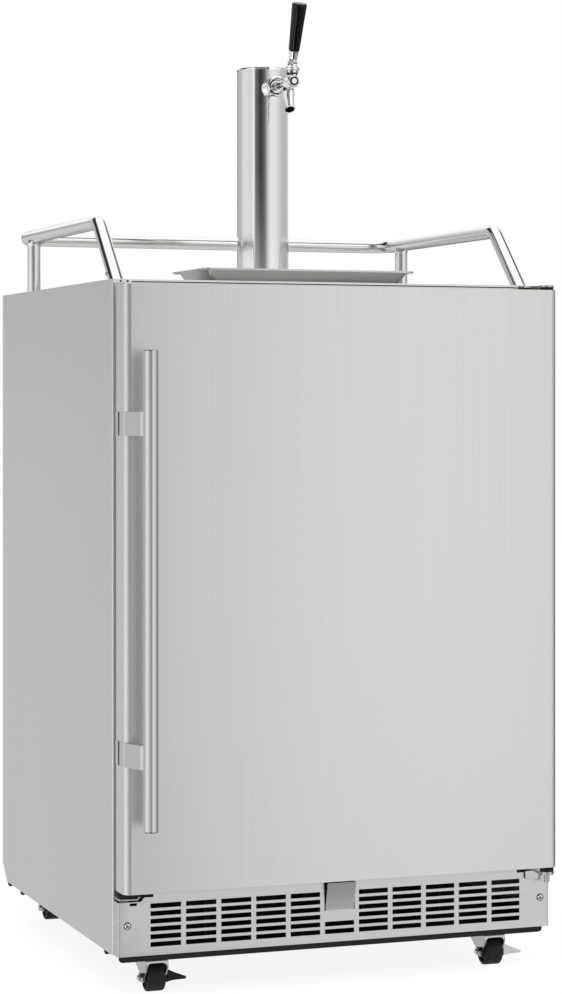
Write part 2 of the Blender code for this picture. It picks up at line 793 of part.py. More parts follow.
def dome(radius, height, base, direction):
    """Half the outline of a screw's domed head, from its crown to the edge of its base."""
    return [(radius * across, base + direction * height * up) for across, up in DOME_SHARES]


# Finishes: colour, roughness, metallic
BRUSHED = ((0.62, 0.62, 0.60), 0.34, 1.0)
POLISHED = ((0.74, 0.74, 0.72), 0.08, 1.0)
CHROME = ((0.80, 0.80, 0.80), 0.05, 1.0)
ZINC = ((0.62, 0.64, 0.66), 0.28, 1.0)
BLACK_STEEL = ((0.03, 0.03, 0.03), 0.50, 0.0)
BLACK_PLASTIC = ((0.02, 0.02, 0.02), 0.40, 0.0)
WHITE_PLASTIC = ((0.80, 0.81, 0.80), 0.45, 0.0)
FOAM = ((0.80, 0.72, 0.45), 0.90, 0.0)
RUBBER = ((0.03, 0.03, 0.03), 0.75, 0.0)
TYRE = ((0.025, 0.025, 0.025), 0.60, 0.0)
LENS = ((0.90, 0.90, 0.85), 0.25, 0.0)


# Case shell


def side_panel(name, side):
    """A tall sheet with a narrow flange folded in at the front."""
    path = rounded([
        (side * (HALF_WIDTH - PANEL_RETURN), CASE_FRONT),
        (side * HALF_WIDTH, CASE_FRONT),
        (side * HALF_WIDTH, CASE_BACK),
    ], PANEL_BEND_RADIUS)
    bm = bmesh.new()
    add_prism(bm, sheet(path, side * SHEET), "Z", CASE_BOTTOM, CASE_TOP)
    panel = piece(name, bm, BRUSHED)
    bm = bmesh.new()
    corner = [
        (CASE_BACK - REAR_CORNER_CUT, CASE_BOTTOM - OVERRUN),
        (CASE_BACK - REAR_CORNER_CUT, CASE_BOTTOM),
        (CASE_BACK, CASE_BOTTOM + REAR_CORNER_CUT),
        (CASE_BACK + OVERRUN, CASE_BOTTOM + REAR_CORNER_CUT),
        (CASE_BACK + OVERRUN, CASE_BOTTOM - OVERRUN),
    ]
    add_prism(bm, corner, "X", side * (HALF_WIDTH + OVERRUN), side * (HALF_WIDTH - SHEET - OVERRUN))
    cut(panel, tool(name + "_corner_cut", bm))
    bm = bmesh.new()
    inner = side * (HALF_WIDTH - PANEL_RETURN - OVERRUN)
    outer = side * (HALF_WIDTH - SHEET)
    add_block(
        bm,
        (min(inner, outer), CASE_FRONT - OVERRUN, NOTCH_BOTTOM),
        (max(inner, outer), CASE_FRONT + PANEL_BEND_RADIUS + GAP, CASE_TOP + OVERRUN),
    )
    cut(panel, tool(name + "_top_notch", bm))
    bm = bmesh.new()
    hole = circle((side * KICK_SCREW_X, KICK_SCREW_Z), KICK_SCREW_RADIUS + GAP, COARSE)
    add_prism(bm, hole, "Y", CASE_FRONT - OVERRUN, CASE_FRONT + SHEET + OVERRUN)
    return cut(panel, tool(name + "_screw_hole", bm))


def top_panel():
    """The top sheet, folded down over the front and back edges."""
    path = rounded([
        (CASE_FRONT, CASE_TOP - TOP_LIP),
        (CASE_FRONT, CASE_TOP),
        (CASE_BACK, CASE_TOP),
        (CASE_BACK, CASE_TOP - REAR_LIP),
    ], PANEL_BEND_RADIUS / 2)
    bm = bmesh.new()
    add_prism(bm, sheet(path, -SHEET), "X", -INNER_HALF, INNER_HALF)
    panel = piece("top_panel", bm, BRUSHED)
    bm = bmesh.new()
    line_hole = circle((0, TOWER_Y), LINE_HOLE_RADIUS, MEDIUM)
    add_prism(bm, line_hole, "Z", CASE_TOP - OVERRUN, CASE_TOP + OVERRUN)
    cut(panel, tool("top_line_hole", bm))
    bm = bmesh.new()
    add_block(
        bm,
        (UPPER_PLATE_LEFT - GAP, CASE_FRONT - OVERRUN, CASE_TOP - TOP_LIP - OVERRUN),
        (HALF_WIDTH, CASE_FRONT + SHEET + GAP, UPPER_PLATE_TOP),
    )
    return cut(panel, tool("top_hinge_notch", bm))


def back_panel():
    """The back sheet, stepped in over the machine bay and forward under the insulation."""
    path = [
        (BACK_FACE, CASE_TOP - PANEL_BEND_RADIUS - GAP),
        (BACK_FACE, MACHINE_TOP),
        (MACHINE_FRONT, MACHINE_TOP),
        (MACHINE_FRONT, BAY_TOP),
        (CASE_FRONT + LINER_WALL + GAP, BAY_TOP),
    ]
    bm = bmesh.new()
    add_prism(bm, sheet(path, -SHEET), "X", -INNER_HALF, INNER_HALF)
    panel = piece("back_panel", bm, BLACK_STEEL)
    bm = bmesh.new()
    hole = circle((PORT_X, PORT_Z), PORT_RADIUS + GAP, MEDIUM)
    add_prism(bm, hole, "Y", BACK_FACE - SHEET - OVERRUN, BACK_FACE + OVERRUN)
    return cut(panel, tool("back_port_hole", bm))


def rear_cover():
    """The louvred plate that closes the machine bay at the back."""
    bm = bmesh.new()
    add_block(
        bm,
        (-INNER_HALF, BACK_FACE - SHEET, CASE_BOTTOM + REAR_COVER_EDGE),
        (INNER_HALF, BACK_FACE, MACHINE_TOP - GAP),
    )
    cover = piece("rear_cover", bm, BLACK_STEEL)
    bm = bmesh.new()
    for column in range(VENT_COLUMNS):
        middle = VENT_CENTRE_X + (column - (VENT_COLUMNS - 1) / 2) * VENT_COLUMN_PITCH
        for row in range(VENT_ROWS):
            base = CASE_BOTTOM + VENT_BASE_RISE + row * VENT_PITCH
            add_block(
                bm,
                (middle - VENT_WIDTH / 2, BACK_FACE - SHEET - OVERRUN, base),
                (middle + VENT_WIDTH / 2, BACK_FACE + OVERRUN, base + VENT_HEIGHT),
            )
    add_block(
        bm,
        (-INLET_X - INLET_WIDTH / 2 - GAP, BACK_FACE - SHEET - OVERRUN, INLET_Z - INLET_HEIGHT / 2 - GAP),
        (-INLET_X + INLET_WIDTH / 2 + GAP, BACK_FACE + OVERRUN, INLET_Z + INLET_HEIGHT / 2 + GAP),
    )
    return cut(cover, tool("rear_cover_openings", bm))


def base_pan():
    """A shallow pan with its edges turned up and six domed feet, which carries the casters."""
    rear = CASE_BACK - REAR_CORNER_CUT - PAN_REAR_SETBACK
    front = CASE_FRONT + PANEL_BEND_RADIUS + GAP
    bm = bmesh.new()
    add_block(bm, (-INNER_HALF, front, CASE_BOTTOM), (INNER_HALF, rear, CASE_BOTTOM + PAN_FLANGE))
    pan = piece("base_pan", bm, BLACK_STEEL)
    bm = bmesh.new()
    add_block(
        bm,
        (-INNER_HALF + PAN_THICKNESS, front - OVERRUN, PAN_TOP),
        (INNER_HALF - PAN_THICKNESS, rear - PAN_THICKNESS, CASE_BOTTOM + PAN_FLANGE + OVERRUN),
    )
    cut(pan, tool("base_pan_hollow", bm))
    profile = dome(BUMPER_RADIUS, BUMPER_HEIGHT, CASE_BOTTOM, -1) + [
        (BUMPER_RADIUS, CASE_BOTTOM + PAN_THICKNESS / 2), (0, CASE_BOTTOM + PAN_THICKNESS / 2),
    ]
    x = HALF_WIDTH - BUMPER_SIDE_INSET
    back = CASE_BACK - BUMPER_REAR_INSET
    for row, y in enumerate((CASE_FRONT + BUMPER_SETBACK, back - BUMPER_PITCH, back)):
        bm = bmesh.new()
        for side in (-1, 1):
            add_turned(bm, profile, "Z", (side * x, y, 0), COARSE)
        join(pan, tool("base_bumpers_%d" % row, bm))
    return pan


def plinth_strip():
    """The dark strip under the grille, with rounded lower corners and a leg under the pan."""
    front = CASE_FRONT - PLINTH_SETFORWARD
    half = HALF_WIDTH - PLINTH_SIDE_INSET
    low = CASE_BOTTOM - PLINTH_DROP
    high = CASE_BOTTOM + PLINTH_RISE
    radii = [0, PLINTH_CORNER_RADIUS, PLINTH_CORNER_RADIUS, 0]
    face = rounded([(-half, high), (-half, low), (half, low), (half, high)], radii, closed=True)
    bm = bmesh.new()
    add_prism(bm, face, "Y", front, front + PLINTH_THICKNESS)
    strip = piece("plinth_strip", bm, BLACK_STEEL)
    bm = bmesh.new()
    add_block(
        bm,
        (-half + PLINTH_CORNER_RADIUS, front + PLINTH_THICKNESS / 2, CASE_BOTTOM - GAP - PLINTH_THICKNESS),
        (half - PLINTH_CORNER_RADIUS, CASE_FRONT + PLINTH_LEG, CASE_BOTTOM - GAP),
    )
    return join(strip, tool("plinth_leg", bm))


def stepped(front, rear, low, high, step_face, step_top, grow=0.0):
    """The side outline of the cold space, which steps in over the machine bay."""
    return [
        (front, low - grow),
        (step_face + grow, low - grow),
        (step_face + grow, step_top - grow),
        (rear + grow, step_top - grow),
        (rear + grow, high + grow),
        (front, high + grow),
    ]


def cavity_outline(front, grow=0.0):
    return stepped(front, CAVITY_BACK, CAVITY_FLOOR, CAVITY_CEILING, HUMP_FACE, HUMP_TOP, grow)


def foam_insulation():
    """The foam that fills the walls between the outer sheets and the liner."""
    front = CASE_FRONT + PANEL_BEND_RADIUS + GAP
    rear = BACK_FACE - SHEET - GAP
    low = BAY_TOP + SHEET + GAP
    face = MACHINE_FRONT - SHEET - GAP
    step = MACHINE_TOP + SHEET + GAP
    bm = bmesh.new()
    add_prism(bm, stepped(front, rear, low, UNDERSIDE, face, step), "X", -INNER_HALF, INNER_HALF)
    foam = piece("foam_insulation", bm, FOAM)
    room = LINER_WALL + GAP
    bm = bmesh.new()
    add_prism(bm, cavity_outline(CASE_FRONT - OVERRUN, room), "X", -CAVITY_HALF - room, CAVITY_HALF + room)
    cut(foam, tool("foam_cavity", bm))
    bm = bmesh.new()
    add_prism(bm, circle((0, TOWER_Y), SLEEVE_RADIUS + GAP, MEDIUM), "Z", CAVITY_CEILING, CASE_TOP + OVERRUN)
    cut(foam, tool("foam_line_hole", bm))
    bm = bmesh.new()
    add_prism(bm, circle((PORT_X, PORT_Z), PORT_RADIUS + GAP, MEDIUM), "Y", CAVITY_BACK, CASE_BACK)
    cut(foam, tool("foam_port_hole", bm))
    bm = bmesh.new()
    add_block(
        bm,
        (UPPER_PLATE_LEFT - GAP, CASE_FRONT, UPPER_PLATE_BOTTOM - GAP),
        (HALF_WIDTH, CASE_FRONT + UPPER_PLATE_DEPTH + GAP, CASE_TOP),
    )
    return cut(foam, tool("foam_hinge_pocket", bm))


def inner_liner():
    """The moulded cold space with its hump, a flange round the front and a sleeve up to the tower."""
    half = HALF_WIDTH - PANEL_RETURN - GAP
    bm = bmesh.new()
    add_block(
        bm,
        (-half, CASE_FRONT, BAY_TOP - LINER_SKIRT),
        (half, CASE_FRONT + LINER_WALL, NOTCH_BOTTOM),
    )
    liner = piece("inner_liner", bm, WHITE_PLASTIC)
    bm = bmesh.new()
    shell = cavity_outline(CASE_FRONT + LINER_WALL / 2, LINER_WALL)
    add_prism(bm, shell, "X", -CAVITY_HALF - LINER_WALL, CAVITY_HALF + LINER_WALL)
    join(liner, tool("liner_shell", bm))
    bm = bmesh.new()
    sleeve = circle((0, TOWER_Y), SLEEVE_RADIUS, MEDIUM)
    add_prism(bm, sleeve, "Z", CAVITY_CEILING + LINER_WALL / 2, UNDERSIDE)
    join(liner, tool("liner_line_sleeve", bm))
    bm = bmesh.new()
    add_prism(bm, cavity_outline(CASE_FRONT - OVERRUN), "X", -CAVITY_HALF, CAVITY_HALF)
    cut(liner, tool("liner_cavity", bm))
    bm = bmesh.new()
    line = circle((0, TOWER_Y), LINE_HOLE_RADIUS, MEDIUM)
    add_prism(bm, line, "Z", CAVITY_CEILING - OVERRUN, CASE_TOP)
    cut(liner, tool("liner_line_bore", bm))
    bm = bmesh.new()
    hole = circle((PORT_X, PORT_Z), PORT_RADIUS + GAP, MEDIUM)
    add_prism(bm, hole, "Y", CAVITY_BACK - OVERRUN, CAVITY_BACK + LINER_WALL + OVERRUN)
    return cut(liner, tool("liner_port_hole", bm))


# Kick grille


def tongue_outline():
    """Side view of the tongue: it leaves the plate at its root and leans forward."""
    root = KICK_BOTTOM + TONGUE_BASE_RISE
    return [
        (KICK_FRONT, root - SHEET),
        (KICK_FRONT + SHEET, root - SHEET),
        (KICK_FRONT + SHEET, root + SHEET),
        (KICK_FRONT + SHEET - TONGUE_LEAN, root + TONGUE_HEIGHT),
        (KICK_FRONT - TONGUE_LEAN, root + TONGUE_HEIGHT),
        (KICK_FRONT, root + SHEET),
    ]


def kick_grille():
    """The slotted kick plate, with its sides folded back and a tongue bent out of the middle."""
    path = rounded([
        (-KICK_HALF, CASE_FRONT - GAP),
        (-KICK_HALF, KICK_FRONT),
        (KICK_HALF, KICK_FRONT),
        (KICK_HALF, CASE_FRONT - GAP),
    ], KICK_BEND_RADIUS)
    bm = bmesh.new()
    add_prism(bm, sheet(path, SHEET), "Z", KICK_BOTTOM, KICK_TOP)
    grille = piece("kick_grille", bm, BRUSHED)
    near = KICK_FRONT - OVERRUN
    far = KICK_FRONT + SHEET + OVERRUN

    bm = bmesh.new()
    middle_column = (SLOT_COLUMNS - 1) / 2
    for column in range(SLOT_COLUMNS):
        centre = (column - middle_column) * SLOT_COLUMN_PITCH
        under_tongue = abs(centre) < SLOT_COLUMN_PITCH / 2
        for row in range(SLOT_ROWS_UNDER_TONGUE if under_tongue else SLOT_ROWS):
            base = KICK_BOTTOM + SLOT_BASE_RISE + row * SLOT_ROW_PITCH
            add_block(
                bm,
                (centre - SLOT_WIDTH / 2, near, base),
                (centre + SLOT_WIDTH / 2, far, base + SLOT_HEIGHT),
            )
    window = TONGUE_WIDTH / 2 + TONGUE_SLIT
    root = KICK_BOTTOM + TONGUE_BASE_RISE
    add_block(bm, (-window, near, root), (window, far, KICK_TOP + OVERRUN))
    port = -KICK_HALF + KICK_PORT_INSET
    port_top = KICK_TOP - KICK_NOTCH_DEPTH - KICK_PORT_DROP
    add_block(bm, (port, near, port_top - KICK_PORT_HEIGHT), (port + KICK_PORT_WIDTH, far, port_top))
    cut(grille, tool("kick_slots", bm))

    bm = bmesh.new()
    for side in (-1, 1):
        notch = [
            (KICK_HALF - KICK_NOTCH_WIDTH, KICK_TOP - KICK_NOTCH_DEPTH),
            (KICK_HALF + OVERRUN, KICK_TOP - KICK_NOTCH_DEPTH),
            (KICK_HALF + OVERRUN, KICK_TOP + OVERRUN),
            (KICK_HALF - KICK_STEP_WIDTH, KICK_TOP + OVERRUN),
            (KICK_HALF - KICK_STEP_WIDTH, KICK_TOP - KICK_STEP_DEPTH),
            (KICK_HALF - KICK_NOTCH_WIDTH - KICK_SLANT, KICK_TOP - KICK_STEP_DEPTH),
        ]
        add_prism(bm, [(side * x, z) for x, z in notch], "Y", near, CASE_FRONT)
    cut(grille, tool("kick_notches", bm))

    bm = bmesh.new()
    add_prism(bm, tongue_outline(), "X", -TONGUE_WIDTH / 2, TONGUE_WIDTH / 2)
    join(grille, tool("kick_tongue", bm))
    return join(grille, kick_screws())


def kick_screws():
    """Two dome-headed screws that hold the grille to the side panels' flanges."""
    face = KICK_FRONT + SHEET / 2
    tail = CASE_FRONT + SHEET + KICK_SCREW_TAIL
    profile = dome(KICK_SCREW_HEAD_RADIUS, KICK_SCREW_HEAD_HEIGHT, KICK_FRONT, -1)
    profile += [
        (KICK_SCREW_HEAD_RADIUS, face), (KICK_SCREW_RADIUS, face), (KICK_SCREW_RADIUS, tail), (0, tail),
    ]
    bm = bmesh.new()
    for side in (-1, 1):
        add_turned(bm, profile, "Y", (side * KICK_SCREW_X, 0, KICK_SCREW_Z), MEDIUM)
    return tool("kick_screws", bm)


# Door


def door_outline(inset, open_overrun=0.0):
    """Plan of the door with its two front edges rounded, drawn in by an inset."""
    radius = DOOR_EDGE_RADIUS - inset
    corners = [
        (-DOOR_HALF + inset, DOOR_BACK + open_overrun),
        (-DOOR_HALF + inset, DOOR_FRONT + inset),
        (DOOR_HALF - inset, DOOR_FRONT + inset),
        (DOOR_HALF - inset, DOOR_BACK + open_overrun),
    ]
    return rounded(corners, [0, radius, radius, 0], closed=True)


def hinge_bores(name, clearance):
    """Bodies of the two bushings, grown by a clearance, to cut the door with."""
    bm = bmesh.new()
    hole = circle((HINGE_X, HINGE_Y), BUSHING_RADIUS + clearance, MEDIUM)
    add_prism(bm, hole, "Z", DOOR_BOTTOM - OVERRUN, DOOR_BOTTOM + BUSHING_LENGTH + clearance)
    add_prism(bm, hole, "Z", DOOR_TOP - BUSHING_LENGTH - clearance, DOOR_TOP + OVERRUN)
    return tool(name, bm)


def door_skin():
    """The steel pan of the door."""
    bm = bmesh.new()
    add_prism(bm, door_outline(0.0), "Z", DOOR_BOTTOM, DOOR_TOP)
    skin = piece("door_skin", bm, BRUSHED)
    bm = bmesh.new()
    add_prism(bm, door_outline(SHEET, OVERRUN), "Z", DOOR_BOTTOM + SHEET, DOOR_TOP - SHEET)
    cut(skin, tool("door_skin_hollow", bm))
    cut(skin, hinge_bores("door_skin_bores", GAP))
    return pivot_at(skin, (HINGE_X, HINGE_Y, DOOR_MIDDLE))


def door_liner():
    """The foam-filled inner door with a raised dyke that reaches into the cold space."""
    inset = SHEET + GAP
    bm = bmesh.new()
    add_prism(bm, door_outline(inset), "Z", DOOR_BOTTOM + inset, DOOR_TOP - inset)
    liner = piece("door_liner", bm, WHITE_PLASTIC)
    bm = bmesh.new()
    add_block(
        bm,
        (-HALF_WIDTH + DYKE_SIDE_INSET, DOOR_BACK - DYKE_BEVEL * 2, DOOR_BOTTOM + DYKE_BOTTOM_INSET),
        (HALF_WIDTH - DYKE_SIDE_INSET, CASE_FRONT + DYKE_REACH, DOOR_TOP - DYKE_TOP_INSET),
    )
    dyke = bevel(tool("door_dyke", bm), DYKE_BEVEL, 2)
    join(liner, dyke)
    cut(liner, hinge_bores("door_liner_bores", GAP))
    return pivot_at(liner, (HINGE_X, HINGE_Y, DOOR_MIDDLE))


def door_gasket():
    """The bellows-shaped seal that runs round the back of the door."""
    half_x = DOOR_HALF - GASKET_SIDE_MARGIN
    half_z = DOOR_HEIGHT / 2 - GASKET_END_MARGIN
    depth = GASKET_SPACE - GAP * 2
    loops = []
    for width_share, depth_share in GASKET_OUTLINE_SHARES:
        inset = width_share * GASKET_WIDTH
        y = DOOR_BACK + GAP + depth_share * depth
        x = half_x - inset
        z = half_z - inset
        loops.append([
            Vector((-x, y, DOOR_MIDDLE - z)), Vector((x, y, DOOR_MIDDLE - z)),
            Vector((x, y, DOOR_MIDDLE + z)), Vector((-x, y, DOOR_MIDDLE + z)),
        ])
    bm = bmesh.new()
    add_loops(bm, loops, capped=False, ring=True)
    gasket = piece("door_gasket", bm, RUBBER)
    return pivot_at(gasket, (HINGE_X, HINGE_Y, DOOR_MIDDLE))


def handle_bar():
    """The upright bar of the door handle."""
    low = DOOR_MIDDLE - HANDLE_LENGTH / 2
    high = DOOR_MIDDLE + HANDLE_LENGTH / 2
    profile = [
        (0, low), (HANDLE_RADIUS - HANDLE_CHAMFER, low), (HANDLE_RADIUS, low + HANDLE_CHAMFER),
        (HANDLE_RADIUS, high - HANDLE_CHAMFER), (HANDLE_RADIUS - HANDLE_CHAMFER, high), (0, high),
    ]
    bm = bmesh.new()
    add_turned(bm, profile, "Z", (HANDLE_X, HANDLE_Y, 0), MEDIUM)
    bar = piece("handle_bar", bm, BRUSHED)
    return pivot_at(bar, (HINGE_X, HINGE_Y, DOOR_MIDDLE))


def bracket_outline():
    """Plan of a handle bracket: it hugs the door's rounded edge and ends in a seat for the bar."""
    side = -DOOR_HALF - GAP
    front = DOOR_FRONT - GAP
    rear = CASE_FRONT - GASKET_SPACE - BRACKET_FOOT_SETBACK
    seat = []
    for step in range(COARSE // 2 + 1):
        share = step / (COARSE // 2)
        degrees = BRACKET_OUTER_DEGREES + (BRACKET_INNER_DEGREES - BRACKET_OUTER_DEGREES) * share
        turn = math.radians(degrees)
        reach = HANDLE_RADIUS + GAP
        seat.append((HANDLE_X + reach * math.cos(turn), HANDLE_Y + reach * math.sin(turn)))
    corners = [(side, rear), (-HALF_WIDTH, rear), (-HALF_WIDTH, rear - BRACKET_FOOT)] + seat
    corners += [(HANDLE_X - BRACKET_SEAT, front), (side, front)]
    radii = [0] * (len(corners) - 1) + [DOOR_EDGE_RADIUS + GAP]
    return rounded(corners, radii, closed=True)


def handle_bracket(name, side):
    """A block that carries the bar, hollowed to the bar's round."""
    middle = DOOR_MIDDLE + side * BRACKET_SPACING / 2
    bm = bmesh.new()
    add_prism(bm, bracket_outline(), "Z", middle - BRACKET_HEIGHT / 2, middle + BRACKET_HEIGHT / 2)
    return pivot_at(piece(name, bm, BRUSHED), (HINGE_X, HINGE_Y, DOOR_MIDDLE))


def hinge_bushing(name, base, direction, flange):
    """A flanged bushing in an end of the door, with a blind bore for the pin."""
    face = base - direction * GAP
    outer = face - direction * flange
    end = base + direction * BUSHING_LENGTH
    floor = base + direction * HINGE_PIN_DEPTH
    rim = BUSHING_RADIUS + BUSHING_FLANGE
    profile = [
        (0, floor), (BUSHING_BORE, floor), (BUSHING_BORE, outer), (rim, outer), (rim, face),
        (BUSHING_RADIUS, face), (BUSHING_RADIUS, end), (0, end),
    ]
    bm = bmesh.new()
    add_turned(bm, profile, "Z", (HINGE_X, HINGE_Y, 0), MEDIUM)
    return pivot_at(piece(name, bm, BLACK_PLASTIC), (HINGE_X, HINGE_Y, DOOR_MIDDLE))


def hinge_plan(root, rear):
    """Plan of a hinge plate: the left side of its root, a round eye about the pin, and its right side."""
    half_turn = MEDIUM // 2
    turns = [math.pi + math.pi * step / half_turn for step in range(half_turn + 1)]
    eye = [
        (HINGE_X + HINGE_EYE_RADIUS * math.cos(turn), HINGE_Y + HINGE_EYE_RADIUS * math.sin(turn))
        for turn in turns
    ]
    return root + eye + [(HALF_WIDTH - SHEET - GAP * 2, rear)]


def lower_hinge():
    """The lower hinge: a plate with the pin, a web on the case and a tab over the grille."""
    left = HALF_WIDTH - LOWER_PLATE_INSET
    ear_left = left - LOWER_EAR
    neck_left = HINGE_X - HINGE_EYE_RADIUS
    rear = CASE_FRONT - GAP
    shoulder = CASE_FRONT - LOWER_SHOULDER
    ear_back = shoulder + LOWER_EAR_DEPTH
    root = [
        (left, rear), (left, ear_back), (ear_left, ear_back), (ear_left, shoulder), (neck_left, shoulder),
    ]
    bm = bmesh.new()
    add_prism(bm, hinge_plan(root, rear), "Z", LOWER_PLATE_BOTTOM, LOWER_PLATE_TOP)
    hinge = piece("lower_hinge", bm, ZINC)
    bm = bmesh.new()
    add_block(
        bm,
        (left, rear - LOWER_WEB_THICKNESS, LOWER_PLATE_TOP - LOWER_WEB_HEIGHT),
        (KICK_HALF - SHEET - GAP * 2, rear, LOWER_PLATE_BOTTOM + SHEET),
    )
    join(hinge, tool("lower_hinge_web", bm))
    bm = bmesh.new()
    tab = [
        (ear_left, LOWER_PLATE_BOTTOM + SHEET),
        (ear_left, LOWER_PLATE_TOP - TAB_DROP),
        (ear_left + TAB_WIDTH, LOWER_PLATE_TOP - TAB_DROP),
        (ear_left + TAB_WIDTH, LOWER_PLATE_BOTTOM + SHEET),
    ]
    face = rounded(tab, [0, TAB_CORNER, TAB_CORNER, 0], closed=True)
    add_prism(bm, face, "Y", shoulder, shoulder + TAB_THICKNESS)
    join(hinge, tool("lower_hinge_tab", bm))
    bm = bmesh.new()
    low = LOWER_PLATE_BOTTOM - HINGE_PIN_TAIL
    high = DOOR_BOTTOM + HINGE_PIN_DEPTH - RUNNING_GAP
    profile = [
        (0, low), (PIN_RADIUS - PIN_TIP_CHAMFER, low), (PIN_RADIUS, low + PIN_TIP_CHAMFER),
        (PIN_RADIUS, high), (0, high),
    ]
    add_turned(bm, profile, "Z", (HINGE_X, HINGE_Y, 0), MEDIUM)
    return join(hinge, tool("lower_hinge_pin", bm))


def upper_hinge():
    """The upper hinge: a plate under the top sheet with the pin pointing down."""
    rear = CASE_FRONT + UPPER_PLATE_DEPTH
    shoulder = CASE_FRONT - UPPER_SHOULDER
    root = [(UPPER_PLATE_LEFT, rear), (UPPER_PLATE_LEFT, shoulder), (HINGE_X - HINGE_EYE_RADIUS, shoulder)]
    bm = bmesh.new()
    add_prism(bm, hinge_plan(root, rear), "Z", UPPER_PLATE_BOTTOM, UPPER_PLATE_TOP)
    hinge = piece("upper_hinge", bm, ZINC)
    bm = bmesh.new()
    low = DOOR_TOP - HINGE_PIN_DEPTH + RUNNING_GAP
    high = UPPER_PLATE_TOP - SHEET
    add_turned(
        bm, [(0, low), (PIN_RADIUS, low), (PIN_RADIUS, high), (0, high)], "Z", (HINGE_X, HINGE_Y, 0), MEDIUM,
    )
    return join(hinge, tool("upper_hinge_pin", bm))


# Interior fittings


def keg_plate():
    """The floor plate that a keg stands on, with a raised rim."""
    half = CAVITY_HALF - KEG_PLATE_MARGIN
    low = CAVITY_FLOOR + GAP
    front = CASE_FRONT + KEG_PLATE_MARGIN * 2
    rear = HUMP_FACE - KEG_PLATE_MARGIN
    bm = bmesh.new()
    add_block(bm, (-half, front, low), (half, rear, low + KEG_PLATE_THICKNESS + KEG_PLATE_RIM))
    plate = piece("keg_plate", bm, BRUSHED)
    bm = bmesh.new()
    rim = KEG_PLATE_RIM_WIDTH
    add_block(
        bm,
        (-half + rim, front + rim, low + KEG_PLATE_THICKNESS),
        (half - rim, rear - rim, low + KEG_PLATE_THICKNESS + KEG_PLATE_RIM + OVERRUN),
    )
    return cut(plate, tool("keg_plate_well", bm))


def evaporator_cover():
    """The louvred cover over the cold coil on the back wall."""
    rear = CAVITY_BACK - GAP
    front = rear - EVAPORATOR_COVER_DEPTH
    high = CAVITY_CEILING - EVAPORATOR_COVER_DROP
    low = high - EVAPORATOR_COVER_HEIGHT
    half = EVAPORATOR_COVER_WIDTH / 2
    wall = EVAPORATOR_COVER_WALL
    bm = bmesh.new()
    add_block(bm, (-half, front, low), (half, rear, high))
    cover = piece("evaporator_cover", bm, WHITE_PLASTIC)
    bm = bmesh.new()
    add_block(bm, (-half + wall, front + wall, low + wall), (half - wall, rear + OVERRUN, high - wall))
    cut(cover, tool("evaporator_hollow", bm))
    bm = bmesh.new()
    for column in range(LOUVRE_COLUMNS):
        middle = (column - (LOUVRE_COLUMNS - 1) / 2) * LOUVRE_COLUMN_PITCH
        for row in range(LOUVRE_ROWS):
            top = high - LOUVRE_TOP_MARGIN - row * LOUVRE_PITCH
            add_block(
                bm,
                (middle - LOUVRE_WIDTH / 2, front - OVERRUN, top - LOUVRE_HEIGHT),
                (middle + LOUVRE_WIDTH / 2, front + wall + OVERRUN, top),
            )
    return cut(cover, tool("evaporator_louvres", bm))


def control_housing():
    """The thermostat housing under the ceiling, with the spindle that carries the knob."""
    high = CAVITY_CEILING - GAP
    front = CASE_FRONT + CONTROL_SETBACK
    half = CONTROL_WIDTH / 2
    bm = bmesh.new()
    add_block(bm, (-half, front, high - CONTROL_HEIGHT), (half, front + CONTROL_DEPTH, high))
    housing = bevel(piece("control_housing", bm, WHITE_PLASTIC), CONTROL_BEVEL, 2)
    bm = bmesh.new()
    add_turned(
        bm,
        [
            (0, front - SPINDLE_LENGTH), (SPINDLE_RADIUS, front - SPINDLE_LENGTH),
            (SPINDLE_RADIUS, front + OVERRUN), (0, front + OVERRUN),
        ],
        "Y", (-KNOB_OFFSET, 0, KNOB_Z), COARSE,
    )
    join(housing, tool("control_spindle", bm))
    bm = bmesh.new()
    add_block(
        bm,
        (LENS_OFFSET - LENS_WIDTH / 2, front - OVERRUN, KNOB_Z - LENS_HEIGHT / 2),
        (LENS_OFFSET + LENS_WIDTH / 2, front + LENS_DEPTH / 2, KNOB_Z + LENS_HEIGHT / 2),
    )
    return cut(housing, tool("control_lens_seat", bm))


def light_lens():
    """The lens of the interior light, let into the front of the control housing."""
    seat = CASE_FRONT + CONTROL_SETBACK + LENS_DEPTH / 2 - GAP
    bm = bmesh.new()
    add_block(
        bm,
        (LENS_OFFSET - LENS_WIDTH / 2 + GAP, seat - LENS_DEPTH, KNOB_Z - LENS_HEIGHT / 2 + GAP),
        (LENS_OFFSET + LENS_WIDTH / 2 - GAP, seat, KNOB_Z + LENS_HEIGHT / 2 - GAP),
    )
    return piece("light_lens", bm, LENS)


def thermostat_knob():
    """A turned knob with a skirt, a raised pointer bar and a blind bore for the spindle."""
    back = CASE_FRONT + CONTROL_SETBACK - RUNNING_GAP
    front = back - KNOB_DEPTH
    bore = SPINDLE_RADIUS + RUNNING_GAP
    floor = back - SPINDLE_LENGTH
    cap = KNOB_RADIUS - KNOB_SKIRT
    profile = [
        (0, floor), (bore, floor), (bore, back), (KNOB_RADIUS, back), (KNOB_RADIUS, back - KNOB_SKIRT),
        (cap, back - KNOB_SKIRT), (cap - SHEET, front), (0, front),
    ]
    bm = bmesh.new()
    add_turned(bm, profile, "Y", (-KNOB_OFFSET, 0, KNOB_Z), MEDIUM)
    knob = piece("thermostat_knob", bm, BLACK_PLASTIC)
    bm = bmesh.new()
    add_block(
        bm,
        (-KNOB_OFFSET - KNOB_POINTER / 2, front - SHEET, KNOB_Z),
        (-KNOB_OFFSET + KNOB_POINTER / 2, front + SHEET, KNOB_Z + cap - SHEET * 2),
    )
    join(knob, tool("knob_pointer", bm))
    return pivot_at(knob, (-KNOB_OFFSET, back, KNOB_Z))


